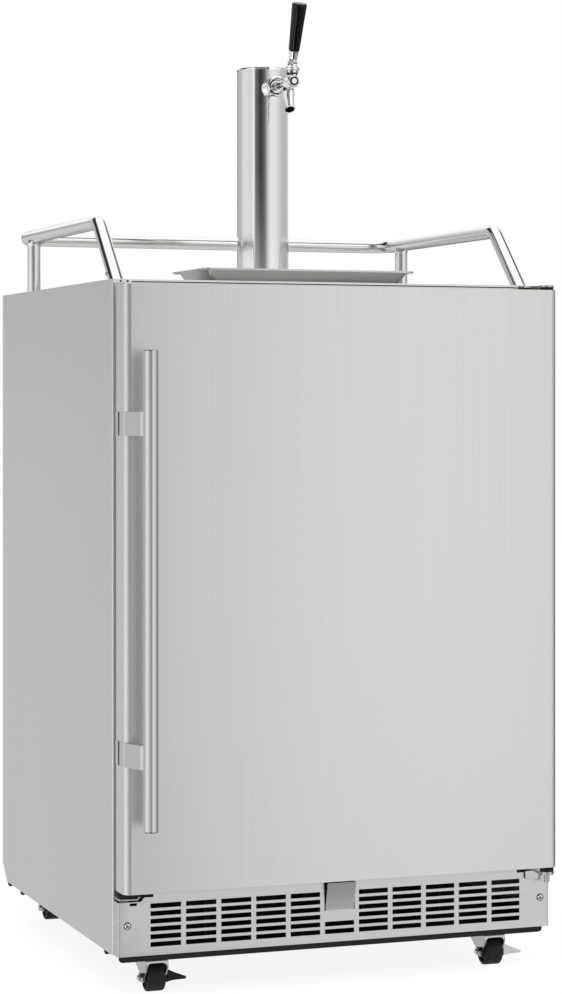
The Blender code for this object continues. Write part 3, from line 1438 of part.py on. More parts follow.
def gas_port_plug():
    """The rubber plug in the gas line's port through the back wall."""
    head = CAVITY_BACK - GAP
    profile = [
        (0, head - PORT_HEAD_HEIGHT), (PORT_HEAD_RADIUS * PORT_HEAD_TAPER_SHARE, head - PORT_HEAD_HEIGHT),
        (PORT_HEAD_RADIUS, head - PORT_HEAD_HEIGHT / 2), (PORT_HEAD_RADIUS, head),
        (PORT_RADIUS, head), (PORT_RADIUS, BACK_FACE), (PORT_RADIUS / 2, BACK_FACE),
        (PORT_RADIUS / 2, BACK_FACE - PORT_DIMPLE), (0, BACK_FACE - PORT_DIMPLE),
    ]
    bm = bmesh.new()
    add_turned(bm, profile, "Y", (PORT_X, 0, PORT_Z), MEDIUM)
    return piece("gas_port_plug", bm, RUBBER)


# Refrigeration machine


def compressor():
    """The sealed compressor: an oval two-part shell on a plate with four feet."""
    middle_y = MACHINE_FRONT + COMPRESSOR_SETBACK + COMPRESSOR_DEPTH / 2 + GAP
    low = PAN_TOP + GAP + COMPRESSOR_FOOT_HEIGHT
    profile = [(radius, height * COMPRESSOR_HEIGHT) for radius, height in COMPRESSOR_PROFILE_SHARES]
    bm = bmesh.new()
    add_turned(bm, profile, "Z", (0, 0, 0), MEDIUM)
    widest = max(radius for radius, height in COMPRESSOR_PROFILE_SHARES)
    across = Vector((COMPRESSOR_WIDTH / 2 / widest, COMPRESSOR_DEPTH / 2 / widest, 1))
    bmesh.ops.scale(bm, verts=bm.verts, vec=across)
    bmesh.ops.translate(bm, verts=bm.verts, vec=(COMPRESSOR_X, middle_y, low))
    shell = piece("compressor", bm, BLACK_STEEL)
    bm = bmesh.new()
    half_x = COMPRESSOR_PLATE_WIDTH / 2
    half_y = COMPRESSOR_PLATE_DEPTH / 2
    plate_y = CASE_BACK - REAR_CORNER_CUT - PAN_REAR_SETBACK - PAN_THICKNESS - GAP * 2 - half_y
    add_block(
        bm,
        (COMPRESSOR_X - half_x, plate_y - half_y, low - COMPRESSOR_PLATE / 2),
        (COMPRESSOR_X + half_x, plate_y + half_y, low + COMPRESSOR_PLATE / 2),
    )
    join(shell, tool("compressor_plate", bm))
    bm = bmesh.new()
    for side in (-1, 1):
        for end in (-1, 1):
            x = COMPRESSOR_X + side * (half_x - COMPRESSOR_FOOT_INSET)
            y = plate_y + end * (half_y - COMPRESSOR_FOOT_INSET)
            foot = circle((x, y), COMPRESSOR_FOOT_RADIUS, COARSE)
            add_prism(bm, foot, "Z", PAN_TOP + GAP, low)
    join(shell, tool("compressor_feet", bm))
    bm = bmesh.new()
    side_x = COMPRESSOR_X - COMPRESSOR_WIDTH / 2
    add_block(
        bm,
        (side_x - COMPRESSOR_BOX, middle_y - COMPRESSOR_BOX / 2, low + COMPRESSOR_BOX),
        (side_x + COMPRESSOR_BOX / 2, middle_y + COMPRESSOR_BOX / 2, low + COMPRESSOR_BOX * 2),
    )
    return join(shell, tool("compressor_terminal_box", bm))


def condenser():
    """A serpentine tube through four upright plates, behind the grille."""
    y = CASE_FRONT + CONDENSER_SETBACK
    base = PAN_TOP + CONDENSER_RISE
    half = CONDENSER_WIDTH / 2
    corners = []
    for row in range(CONDENSER_ROWS):
        z = base + row * CONDENSER_ROW_PITCH
        ends = [(-half, y, z), (half, y, z)]
        corners.extend(ends if row % 2 == 0 else ends[::-1])
    radii = [CONDENSER_ROW_PITCH * CONDENSER_BEND_SHARE] * len(corners)
    line = bent_line(corners, radii, 2)
    bm = bmesh.new()
    add_tube(bm, line, [CONDENSER_TUBE_RADIUS] * len(line), COARSE // 2)
    coil = piece("condenser", bm, BLACK_STEEL)
    bm = bmesh.new()
    for plate in range(CONDENSER_PLATES):
        x = (plate - (CONDENSER_PLATES - 1) / 2) * CONDENSER_PLATE_PITCH
        add_block(
            bm,
            (x - CONDENSER_PLATE / 2, y - CONDENSER_PLATE_DEPTH / 2, PAN_TOP + GAP),
            (x + CONDENSER_PLATE / 2, y + CONDENSER_PLATE_DEPTH / 2, PAN_TOP + GAP + CONDENSER_PLATE_HEIGHT),
        )
    return join(coil, tool("condenser_plates", bm))


def fan_shroud():
    """The fan's plate with its round opening, and the motor held behind it by three arms."""
    front = CASE_FRONT + SHROUD_SETBACK
    low = PAN_TOP + GAP
    bm = bmesh.new()
    back = front + SHROUD_THICKNESS
    add_block(bm, (-SHROUD_WIDTH / 2, front, low), (SHROUD_WIDTH / 2, back, low + SHROUD_HEIGHT))
    shroud = piece("fan_shroud", bm, BLACK_PLASTIC)
    bm = bmesh.new()
    add_prism(bm, circle((0, FAN_Z), SHROUD_BORE, MEDIUM), "Y", front - OVERRUN, back + OVERRUN)
    cut(shroud, tool("shroud_bore", bm))
    motor_face = back + MOTOR_STANDOFF
    motor_back = motor_face + MOTOR_LENGTH
    bm = bmesh.new()
    profile = [
        (0, FAN_FRONT), (FAN_SHAFT_RADIUS, FAN_FRONT), (FAN_SHAFT_RADIUS, motor_face),
        (MOTOR_RADIUS, motor_face), (MOTOR_RADIUS, motor_back), (0, motor_back),
    ]
    add_turned(bm, profile, "Y", (0, 0, FAN_Z), MEDIUM)
    join(shroud, tool("fan_motor", bm))
    path = [
        (MOTOR_RADIUS - SHROUD_ARM, motor_face + SHROUD_ARM / 2),
        (SHROUD_BORE + SHROUD_ARM, motor_face + SHROUD_ARM / 2),
        (SHROUD_BORE + SHROUD_ARM, front + SHROUD_THICKNESS / 2),
    ]
    for arm in range(SHROUD_ARMS):
        bm = bmesh.new()
        add_prism(bm, sheet(path, SHROUD_ARM / 2), "Z", -SHROUD_ARM / 2, SHROUD_ARM / 2)
        turn = Matrix.Rotation(math.tau * arm / SHROUD_ARMS, 4, "Y")
        bmesh.ops.transform(bm, matrix=turn, verts=bm.verts)
        bmesh.ops.translate(bm, verts=bm.verts, vec=(0, 0, FAN_Z))
        join(shroud, tool("shroud_arm_%d" % arm, bm))
    return shroud


def condenser_fan():
    """Five pitched blades on a hub that turns on the motor's shaft."""
    rear = FAN_FRONT + FAN_DEPTH
    nose = FAN_FRONT - SHEET * 2
    floor = FAN_FRONT - RUNNING_GAP
    bore = FAN_SHAFT_RADIUS + RUNNING_GAP
    profile = [
        (0, floor), (bore, floor), (bore, rear), (FAN_HUB_RADIUS, rear),
        (FAN_HUB_RADIUS, nose + SHEET), (FAN_HUB_RADIUS - SHEET, nose), (0, nose),
    ]
    bm = bmesh.new()
    add_turned(bm, profile, "Y", (0, 0, FAN_Z), MEDIUM)
    fan = piece("condenser_fan", bm, BLACK_PLASTIC)
    middle = FAN_FRONT + FAN_DEPTH / 2
    pitch = math.atan2(FAN_DEPTH - FAN_BLADE_SHEET * 2, FAN_HUB_RADIUS * 2)
    for blade in range(FAN_BLADES):
        bm = bmesh.new()
        add_block(
            bm,
            (-FAN_HUB_RADIUS, -FAN_BLADE_SHEET / 2, FAN_HUB_RADIUS - FAN_SHAFT_RADIUS * 2),
            (FAN_HUB_RADIUS, FAN_BLADE_SHEET / 2, FAN_RADIUS - SHEET * 2),
        )
        turn = Matrix.Rotation(math.tau * blade / FAN_BLADES, 4, "Y") @ Matrix.Rotation(pitch, 4, "Z")
        bmesh.ops.transform(bm, matrix=turn, verts=bm.verts)
        bmesh.ops.translate(bm, verts=bm.verts, vec=(0, middle, FAN_Z))
        join(fan, tool("fan_blade_%d" % blade, bm))
    return pivot_at(fan, (0, middle, FAN_Z))


def power_inlet():
    """The recessed inlet for a detachable cord, in the rear cover."""
    rear = BACK_FACE
    half_x = INLET_WIDTH / 2
    half_z = INLET_HEIGHT / 2
    bm = bmesh.new()
    add_block(
        bm,
        (-INLET_X - half_x, rear - INLET_DEPTH, INLET_Z - half_z),
        (-INLET_X + half_x, rear, INLET_Z + half_z),
    )
    inlet = piece("power_inlet", bm, BLACK_PLASTIC)
    bm = bmesh.new()
    add_block(
        bm,
        (-INLET_X - half_x + INLET_WALL, rear - INLET_RECESS, INLET_Z - half_z + INLET_WALL),
        (-INLET_X + half_x - INLET_WALL, rear + OVERRUN, INLET_Z + half_z - INLET_WALL),
    )
    cut(inlet, tool("inlet_recess", bm))
    bm = bmesh.new()
    for step in (-1, 0, 1):
        x = -INLET_X + step * (half_x - INLET_WALL) / 2
        z = INLET_Z + (0 if step else INLET_PIN_STEP)
        add_block(
            bm,
            (x - INLET_PIN_EDGE, rear - INLET_RECESS - SHEET, z - INLET_PIN),
            (x + INLET_PIN_EDGE, rear - INLET_WALL, z + INLET_PIN),
        )
    return join(inlet, tool("inlet_pins", bm))


# Guard rail and tower


def guard_rail():
    """A bent tube with sloping front legs, a rounded back, two posts and two set screws."""
    reach = CASE_TOP - OVERRUN - RAIL_RADIUS
    foot_y = RAIL_BEND_Y - (RAIL_Z - reach)
    corners = [
        (-RAIL_X, foot_y, reach), (-RAIL_X, RAIL_BEND_Y, RAIL_Z), (-RAIL_X, RAIL_BACK_Y, RAIL_Z),
        (RAIL_X, RAIL_BACK_Y, RAIL_Z), (RAIL_X, RAIL_BEND_Y, RAIL_Z), (RAIL_X, foot_y, reach),
    ]
    radii = [0, RAIL_BEND_RADIUS, RAIL_CORNER_RADIUS, RAIL_CORNER_RADIUS, RAIL_BEND_RADIUS, 0]
    line = bent_line(corners, radii, RAIL_BEND_STEPS)
    bm = bmesh.new()
    add_tube(bm, line, [RAIL_RADIUS] * len(line), COARSE)
    rail = piece("guard_rail", bm, POLISHED)
    bm = bmesh.new()
    for side in (-1, 1):
        post = circle((side * RAIL_X, RAIL_POST_Y), RAIL_POST_DIAMETER / 2, COARSE)
        add_prism(bm, post, "Z", reach, RAIL_Z)
    join(rail, tool("rail_posts", bm))
    bm = bmesh.new()
    add_block(
        bm,
        (-HALF_WIDTH, CASE_FRONT - OVERRUN, reach - RAIL_DIAMETER),
        (HALF_WIDTH, CASE_BACK, CASE_TOP + GAP),
    )
    cut(rail, tool("rail_foot_cut", bm))
    bm = bmesh.new()
    for side in (-1, 1):
        base = side * (RAIL_X + RAIL_RADIUS)
        seat = side * (RAIL_X + RAIL_RADIUS - SHEET)
        profile = dome(RAIL_SCREW_RADIUS, RAIL_SCREW_HEIGHT, base, side)
        profile += [(RAIL_SCREW_RADIUS, seat), (0, seat)]
        add_turned(bm, profile, "X", (0, RAIL_FOOT_Y + RAIL_SCREW_RISE, CASE_TOP + RAIL_SCREW_RISE), COARSE)
    return join(rail, tool("rail_set_screws", bm))


def tower_flange():
    """The plate under the tower, with its screws and a spigot that the column slides over."""
    bm = bmesh.new()
    spigot = TOWER_RADIUS - TOWER_WALL - GAP
    inner = spigot - FLANGE_COLLAR_WALL
    low = CASE_TOP + GAP
    high = FLANGE_TOP + FLANGE_COLLAR_HEIGHT
    profile = [
        (LINE_HOLE_RADIUS, low), (FLANGE_RADIUS, low), (FLANGE_RADIUS, FLANGE_TOP - SHEET),
        (FLANGE_RADIUS - SHEET, FLANGE_TOP), (spigot, FLANGE_TOP), (spigot, high),
        (inner, high), (inner, FLANGE_TOP), (LINE_HOLE_RADIUS, FLANGE_TOP),
    ]
    add_turned(bm, profile, "Z", (0, TOWER_Y, 0), FINE, closed=True)
    flange = piece("tower_flange", bm, POLISHED)
    seat = FLANGE_TOP - SHEET
    profile = dome(FLANGE_SCREW_RADIUS, FLANGE_SCREW_HEIGHT, FLANGE_TOP, 1)
    profile += [(FLANGE_SCREW_RADIUS, seat), (0, seat)]
    ring = (FLANGE_RADIUS + TOWER_RADIUS) / 2
    bm = bmesh.new()
    for x, y in circle((0, TOWER_Y), ring, FLANGE_SCREWS, math.pi / FLANGE_SCREWS):
        add_turned(bm, profile, "Z", (x, y, 0), COARSE)
    return join(flange, tool("flange_screws", bm))


def tower_column():
    """The round tube of the tower, with the hole for the shank in front."""
    low = FLANGE_TOP + GAP
    high = TOWER_TOP - TOWER_CAP_HEIGHT - GAP
    inner = TOWER_RADIUS - TOWER_WALL
    profile = [(inner, low), (TOWER_RADIUS, low), (TOWER_RADIUS, high), (inner, high)]
    bm = bmesh.new()
    add_turned(bm, profile, "Z", (0, TOWER_Y, 0), FINE, closed=True)
    column = piece("tower_column", bm, POLISHED)
    bm = bmesh.new()
    hole = circle((0, SHANK_Z), SHANK_THREAD_RADIUS + GAP, MEDIUM)
    add_prism(bm, hole, "Y", TOWER_Y - TOWER_RADIUS - OVERRUN, TOWER_Y - inner + OVERRUN)
    return cut(column, tool("tower_shank_hole", bm))


def tower_cap():
    """The cap: a thin-rimmed disc with a plug that fits the tube."""
    plug = TOWER_RADIUS - TOWER_WALL - GAP
    low = TOWER_TOP - TOWER_CAP_HEIGHT
    rim = TOWER_RADIUS + TOWER_CAP_OVERHANG
    profile = [
        (0, low), (plug - TOWER_PLUG_WALL, low), (plug - TOWER_PLUG_WALL, low - TOWER_PLUG_DEPTH),
        (plug, low - TOWER_PLUG_DEPTH), (plug, low), (rim, low), (rim, TOWER_TOP - SHEET / 2),
        (rim - SHEET / 2, TOWER_TOP), (0, TOWER_TOP),
    ]
    bm = bmesh.new()
    add_turned(bm, profile, "Z", (0, TOWER_Y, 0), FINE)
    return piece("tower_cap", bm, CHROME)


# Shank and faucet


def axial_ring(y, radius, sides=0):
    """Points round the faucet's axis, on a circle or on a polygon with a number of sides."""
    points = []
    for index in range(TAP_FACETS):
        turn = math.tau * index / TAP_FACETS
        reach = radius
        if sides:
            part = math.tau / sides
            reach = radius * math.cos(part / 2) / math.cos(turn % part - part / 2)
        points.append(Vector((reach * math.cos(turn), y, SHANK_Z + reach * math.sin(turn))))
    return points


def saddle_ring(radius):
    """Points round the faucet's axis that lie against the front of the tower."""
    against = TOWER_RADIUS + GAP
    points = axial_ring(0, radius)
    for point in points:
        point.y = TOWER_Y - math.sqrt(against * against - point.x * point.x)
    return points


def shank():
    """The shank: a collar shaped to the tower, a threaded tail with its lock nut, and a bored stub."""
    wall = TOWER_Y - TOWER_RADIUS
    tail = wall + SHANK_TAIL
    stub = COLLAR_FACE - SHANK_STUB
    inner = TOWER_RADIUS - TOWER_WALL
    nut = TOWER_Y - math.sqrt(inner * inner - LOCK_NUT_RADIUS * LOCK_NUT_RADIUS) + LOCK_NUT_CLEARANCE
    loops = [
        axial_ring(stub, SHANK_BORE), axial_ring(stub, SHANK_STUB_RADIUS),
        axial_ring(COLLAR_FACE, SHANK_STUB_RADIUS), axial_ring(COLLAR_FACE, SHANK_COLLAR_RADIUS - SHEET / 2),
        axial_ring(COLLAR_FACE + SHEET / 2, SHANK_COLLAR_RADIUS),
        saddle_ring(SHANK_COLLAR_RADIUS), saddle_ring(SHANK_THREAD_RADIUS),
        axial_ring(nut, SHANK_THREAD_RADIUS), axial_ring(nut, LOCK_NUT_RADIUS, HEX_SIDES),
        axial_ring(nut + LOCK_NUT_LENGTH, LOCK_NUT_RADIUS, HEX_SIDES),
        axial_ring(nut + LOCK_NUT_LENGTH, SHANK_THREAD_RADIUS),
        axial_ring(tail, SHANK_THREAD_RADIUS), axial_ring(tail, SHANK_BORE),
    ]
    bm = bmesh.new()
    add_loops(bm, loops, capped=False, ring=True)
    return piece("shank", bm, CHROME)


def coupling_nut():
    """The ring that holds the faucet to the shank, with round holes for its spanner."""
    rear = COLLAR_FACE - GAP
    lip = NUT_FACE + NUT_LIP
    profile = [
        (NUT_LIP_RADIUS, NUT_FACE), (NUT_RADIUS - SHEET / 2, NUT_FACE), (NUT_RADIUS, NUT_FACE + SHEET / 2),
        (NUT_RADIUS, rear - SHEET / 2), (NUT_RADIUS - SHEET / 2, rear), (NUT_BORE_RADIUS, rear),
        (NUT_BORE_RADIUS, lip), (NUT_LIP_RADIUS, lip),
    ]
    bm = bmesh.new()
    add_turned(bm, profile, "Y", (0, 0, SHANK_Z), FINE, closed=True)
    nut = piece("coupling_nut", bm, CHROME)
    bm = bmesh.new()
    middle = (NUT_FACE + rear) / 2
    for hole in range(NUT_HOLES):
        drill = bmesh.new()
        add_prism(
            drill, circle((0, 0), NUT_HOLE_RADIUS, COARSE), "Z",
            NUT_RADIUS - NUT_HOLE_DEPTH, NUT_RADIUS + OVERRUN,
        )
        turn = Matrix.Rotation(math.tau * (hole * 2 + 1) / (NUT_HOLES * 2), 4, "Y")
        bmesh.ops.transform(drill, matrix=Matrix.Translation((0, middle, SHANK_Z)) @ turn, verts=drill.verts)
        holder = bpy.data.meshes.new("drill")
        drill.to_mesh(holder)
        drill.free()
        bm.from_mesh(holder)
    return cut(nut, tool("nut_holes", bm))


def faucet_body():
    """The chrome body with its end nut, bonnet and bored spout."""
    nut = FAUCET_FRONT + FAUCET_END_BUTTON_LENGTH
    face = nut + FAUCET_END_NUT_LENGTH
    shoulder = NUT_FACE + NUT_LIP + GAP
    rear = COLLAR_FACE - SHANK_STUB - GAP
    length = NUT_FACE - face
    loops = [
        axial_ring(rear, FAUCET_SHOULDER_RADIUS), axial_ring(shoulder, FAUCET_SHOULDER_RADIUS),
        axial_ring(shoulder, FAUCET_NECK_RADIUS), axial_ring(NUT_FACE - SHEET, FAUCET_NECK_RADIUS),
    ]
    for radius, along in FAUCET_PROFILE_SHARES:
        loops.append(axial_ring(NUT_FACE - along * length, radius * FAUCET_RADIUS))
    loops += [
        axial_ring(face, FAUCET_END_NUT, HEX_SIDES), axial_ring(nut, FAUCET_END_NUT, HEX_SIDES),
        axial_ring(nut, FAUCET_END_BUTTON), axial_ring(FAUCET_FRONT, FAUCET_END_BUTTON),
    ]
    bm = bmesh.new()
    add_loops(bm, loops)
    body = piece("faucet_body", bm, CHROME)

    ring = LEVER_Z - BONNET_RING_HEIGHT
    inner = BALL_RADIUS + BALL_CLEARANCE
    bowl = []
    for step in range(BOWL_STEPS + 1):
        turn = math.pi / 2 * step / BOWL_STEPS
        bowl.append((inner * math.cos(turn), LEVER_Z - inner * math.sin(turn)))
    root = SHANK_Z + FAUCET_RADIUS * BONNET_ROOT_SHARE
    profile = [
        (0, root), (BONNET_RADIUS, root), (BONNET_RADIUS, ring), (BONNET_RING_RADIUS, ring),
        (BONNET_RING_RADIUS, LEVER_Z - SHEET), (BONNET_RING_RADIUS - SHEET, LEVER_Z),
    ] + bowl
    bm = bmesh.new()
    add_turned(bm, profile, "Z", (0, 0, 0), MEDIUM)
    bmesh.ops.rotate(bm, verts=bm.verts, matrix=Matrix.Rotation(math.pi / MEDIUM / 2, 3, "Z"))
    bmesh.ops.translate(bm, verts=bm.verts, vec=(0, LEVER_Y, 0))
    join(body, tool("faucet_bonnet", bm))

    start = Vector((0, FAUCET_FRONT + SPOUT_ROOT_SETBACK, SHANK_Z - FAUCET_RADIUS * SPOUT_ROOT_SHARE))
    tip = Vector((0, FAUCET_FRONT + SPOUT_TIP_SETBACK, SHANK_Z - SPOUT_DROP))
    slope = (tip - start).normalized()
    lip_top = tip - slope * SPOUT_LIP_HEIGHT
    floor = tip - slope * SPOUT_BORE_DEPTH
    stations = [(start.lerp(tip, along), SPOUT_RADIUS * width) for along, width in SPOUT_SHARES]
    stations += [
        (lip_top, SPOUT_RADIUS), (lip_top, SPOUT_LIP_RADIUS), (tip, SPOUT_LIP_RADIUS),
        (tip, SPOUT_BORE_RADIUS), (floor, SPOUT_BORE_RADIUS),
    ]
    bm = bmesh.new()
    add_loops(bm, [flat_ring(centre, radius, MEDIUM) for centre, radius in stations])
    return join(body, tool("faucet_spout", bm))


def flat_ring(centre, radius, steps):
    """Points of a level circle, none of them in the plane of the faucet."""
    outline = circle((centre.x, centre.y), radius, steps, math.pi / steps * RING_PHASE_SHARE)
    return [Vector((x, y, centre.z)) for x, y in outline]


def lever_frame(target):
    """Lean a piece of the lever forward about the ball's centre and put its origin there."""
    target.data.transform(Matrix.Rotation(LEVER_LEAN, 4, "X"))
    target.location = (0, LEVER_Y, LEVER_Z)
    return target


def tap_lever():
    """The ball, stem, collar, ferrule and stud that carry the handle, as one turned piece."""
    collar_top = LEVER_STEM_LENGTH + LEVER_COLLAR_HEIGHT
    ferrule_top = collar_top + FERRULE_HEIGHT
    stud_top = collar_top + LEVER_STUD_LENGTH
    meeting = math.asin(LEVER_STEM_RADIUS / BALL_RADIUS)
    ball = []
    for step in range(BALL_STEPS + 1):
        turn = math.pi - (math.pi - meeting) * step / BALL_STEPS
        ball.append((BALL_RADIUS * math.sin(turn), BALL_RADIUS * math.cos(turn)))
    ball[0] = (0, -BALL_RADIUS)
    profile = ball + [
        (LEVER_STEM_RADIUS, LEVER_STEM_LENGTH),
        (LEVER_COLLAR_RADIUS - SHEET, LEVER_STEM_LENGTH), (LEVER_COLLAR_RADIUS, LEVER_STEM_LENGTH + SHEET),
        (LEVER_COLLAR_RADIUS, collar_top - SHEET), (LEVER_COLLAR_RADIUS - SHEET, collar_top),
        (FERRULE_BASE_RADIUS, collar_top), (FERRULE_TOP_RADIUS, ferrule_top),
        (LEVER_STUD_RADIUS, ferrule_top), (LEVER_STUD_RADIUS, stud_top), (0, stud_top),
    ]
    bm = bmesh.new()
    add_turned(bm, profile, "Z", (0, 0, 0), TAP_FACETS)
    return lever_frame(piece("tap_lever", bm, CHROME))


def tap_handle():
    """The black fluted handle, wider towards its top, with a blind bore for the stud."""
    base = LEVER_STEM_LENGTH + LEVER_COLLAR_HEIGHT + FERRULE_HEIGHT + GAP
    growth = TAP_HANDLE_TOP_RADIUS - TAP_HANDLE_BASE_RADIUS
    loops = []
    for along, width in TAP_HANDLE_SHARES:
        radius = TAP_HANDLE_BASE_RADIUS + growth * width
        ring = []
        for index in range(TAP_HANDLE_FLUTES * FLUTE_POINTS):
            turn = math.tau * index / (TAP_HANDLE_FLUTES * FLUTE_POINTS)
            flute = TAP_HANDLE_FLUTE * (1 - math.cos(turn * TAP_HANDLE_FLUTES)) / 2
            reach = radius - flute
            height = base + along * TAP_HANDLE_LENGTH
            ring.append(Vector((reach * math.cos(turn), reach * math.sin(turn), height)))
        loops.append(ring)
    bm = bmesh.new()
    add_loops(bm, loops)
    handle = piece("tap_handle", bm, BLACK_PLASTIC)
    bm = bmesh.new()
    floor = LEVER_STEM_LENGTH + LEVER_COLLAR_HEIGHT + LEVER_STUD_LENGTH + GAP
    add_prism(bm, circle((0, 0), LEVER_STUD_RADIUS + GAP, COARSE), "Z", base - OVERRUN, floor)
    bore = lever_frame(tool("tap_handle_bore", bm))
    cut(handle, bore)
    return lever_frame(handle)


# Drip tray


def tray_inset(rise):
    """How far in from the tray's edge the outside of its wall is, at a rise above its bottom."""
    return TRAY_RIM + TRAY_FLARE * (1 - rise / (TRAY_HEIGHT - TRAY_SHEET))


def tray_ring(inset, z):
    return rounded_rectangle(
        TRAY_WIDTH / 2 - inset, TRAY_DEPTH / 2 - inset, TRAY_MIDDLE, TRAY_CORNER, z, steps=BEND_STEPS,
    )


def drip_tray():
    """A pressed tray with flared walls and a rim that is turned down."""
    top = TRAY_BOTTOM + TRAY_HEIGHT
    loops = [
        tray_ring(tray_inset(0), TRAY_BOTTOM),
        tray_ring(TRAY_RIM, top - TRAY_SHEET),
        tray_ring(TRAY_SHEET, top - TRAY_SHEET),
        tray_ring(TRAY_SHEET, top - TRAY_RIM_DROP),
        tray_ring(0, top - TRAY_RIM_DROP),
        tray_ring(0, top - TRAY_SHEET / 2),
        tray_ring(TRAY_SHEET / 2, top),
        tray_ring(TRAY_RIM + TRAY_SHEET, top),
        tray_ring(tray_inset(0) + TRAY_SHEET, TRAY_BOTTOM + TRAY_SHEET),
    ]
    bm = bmesh.new()
    add_loops(bm, loops)
    return piece("drip_tray", bm, BRUSHED)


def drip_grate():
    """The slotted plate that rests on the tray's flared walls."""
    inset = tray_inset(GRATE_RISE - TRAY_SHEET) + TRAY_SHEET + GAP
    low = TRAY_BOTTOM + GRATE_RISE
    high = low + GRATE_THICKNESS
    bm = bmesh.new()
    add_loops(bm, [tray_ring(inset, low), tray_ring(inset, high)])
    grate = piece("drip_grate", bm, BRUSHED)
    bm = bmesh.new()
    for column in range(GRATE_COLUMNS):
        x = (column - (GRATE_COLUMNS - 1) / 2) * GRATE_COLUMN_PITCH
        for row in range(GRATE_ROWS):
            y = TRAY_MIDDLE + (row - (GRATE_ROWS - 1) / 2) * GRATE_ROW_PITCH
            add_block(
                bm,
                (x - GRATE_SLOT_WIDTH / 2, y - GRATE_SLOT_HEIGHT / 2, low - OVERRUN),
                (x + GRATE_SLOT_WIDTH / 2, y + GRATE_SLOT_HEIGHT / 2, high + OVERRUN),
            )
    cut(grate, tool("grate_slots", bm))
    return pivot_at(grate, (0, TRAY_MIDDLE, low))


# Casters


def caster_plate(name, pivot):
    """The fixed part of a caster: its plate, the upper race and the kingpin with its head."""
    x, y = pivot[:2]
    bm = bmesh.new()
    add_block(
        bm,
        (x - CASTER_PLATE_WIDTH / 2, y - CASTER_PLATE_DEPTH / 2, PLATE_BOTTOM),
        (x + CASTER_PLATE_WIDTH / 2, y + CASTER_PLATE_DEPTH / 2, PLATE_BOTTOM + CASTER_PLATE_THICKNESS),
    )
    plate = piece(name, bm, ZINC)
    bottom = CROWN_BOTTOM - GAP
    profile = [
        (0, bottom - KINGPIN_HEAD_HEIGHT), (KINGPIN_HEAD_RADIUS, bottom - KINGPIN_HEAD_HEIGHT),
        (KINGPIN_HEAD_RADIUS, bottom), (KINGPIN_RADIUS, bottom), (KINGPIN_RADIUS, RACE_TOP),
        (RACE_RADIUS, RACE_TOP), (RACE_RADIUS, PLATE_BOTTOM + SHEET), (0, PLATE_BOTTOM + SHEET),
    ]
    bm = bmesh.new()
    add_turned(bm, profile, "Z", (x, y, 0), MEDIUM)
    return join(plate, tool(name + "_kingpin", bm))


def set_caster(target, place_of_pivot, point=(0, 0, 0)):
    """Turn a caster's piece about its pivot and move it there, with its origin at a local point."""
    x, y, turn = place_of_pivot
    spin = Matrix.Rotation(turn, 4, "Z")
    origin = Vector(point)
    target.data.transform(spin @ Matrix.Translation(-origin))
    target.location = spin @ origin + Vector((x, y, 0))
    for modifier in target.modifiers:
        helper = modifier.object
        helper.data.transform(spin)
        helper.location = (x, y, 0)
    return target


def fork_outline():
    """Side view of the fork: a level crown and arms that narrow to the axle's boss."""
    front = -CASTER_TRAIL - FORK_FRONT
    low = CROWN_TOP - FORK_SKIRT
    steps = COARSE // 2
    turns = [math.pi + math.pi * step / steps for step in range(steps + 1)]
    boss = [
        (-CASTER_TRAIL + FORK_BOSS_RADIUS * math.cos(turn), WHEEL_RADIUS + FORK_BOSS_RADIUS * math.sin(turn))
        for turn in turns
    ]
    return [(FORK_REAR, CROWN_TOP), (front, CROWN_TOP), (front, low)] + boss + [(FORK_REAR, low)]


def caster_fork(name, pivot):
    """A sheet fork with an arched opening round the wheel and the lower race on its crown."""
    bm = bmesh.new()
    add_prism(bm, fork_outline(), "X", -FORK_OUTER, FORK_OUTER)
    fork = piece(name, bm, ZINC)
    bm = bmesh.new()
    arch = [
        (-FORK_INNER, -OVERRUN), (-FORK_INNER, CROWN_BOTTOM),
        (FORK_INNER, CROWN_BOTTOM), (FORK_INNER, -OVERRUN),
    ]
    tunnel = rounded(arch, [0, FORK_ARCH_RADIUS, FORK_ARCH_RADIUS, 0], closed=True)
    add_prism(bm, tunnel, "Y", -CASTER_TRAIL - WHEEL_DIAMETER, FORK_REAR + OVERRUN)
    cut(fork, tool(name + "_tunnel", bm))
    bm = bmesh.new()
    race = [
        (0, CROWN_TOP - SHEET), (RACE_RADIUS - SHEET, CROWN_TOP - SHEET),
        (RACE_RADIUS, CROWN_TOP + SHEET), (RACE_RADIUS, RACE_TOP - GAP), (0, RACE_TOP - GAP),
    ]
    add_turned(bm, race, "Z", (0, 0, 0), MEDIUM)
    join(fork, tool(name + "_race", bm))
    bm = bmesh.new()
    add_prism(bm, circle((0, 0), KINGPIN_RADIUS + GAP, MEDIUM), "Z", CROWN_BOTTOM - OVERRUN, RACE_TOP)
    cut(fork, tool(name + "_kingpin_hole", bm))
    bm = bmesh.new()
    hole = circle((-CASTER_TRAIL, WHEEL_RADIUS), AXLE_RADIUS + AXLE_CLEARANCE, COARSE)
    add_prism(bm, hole, "X", -FORK_OUTER - OVERRUN, FORK_OUTER + OVERRUN)
    cut(fork, tool(name + "_axle_hole", bm))
    return set_caster(fork, pivot)


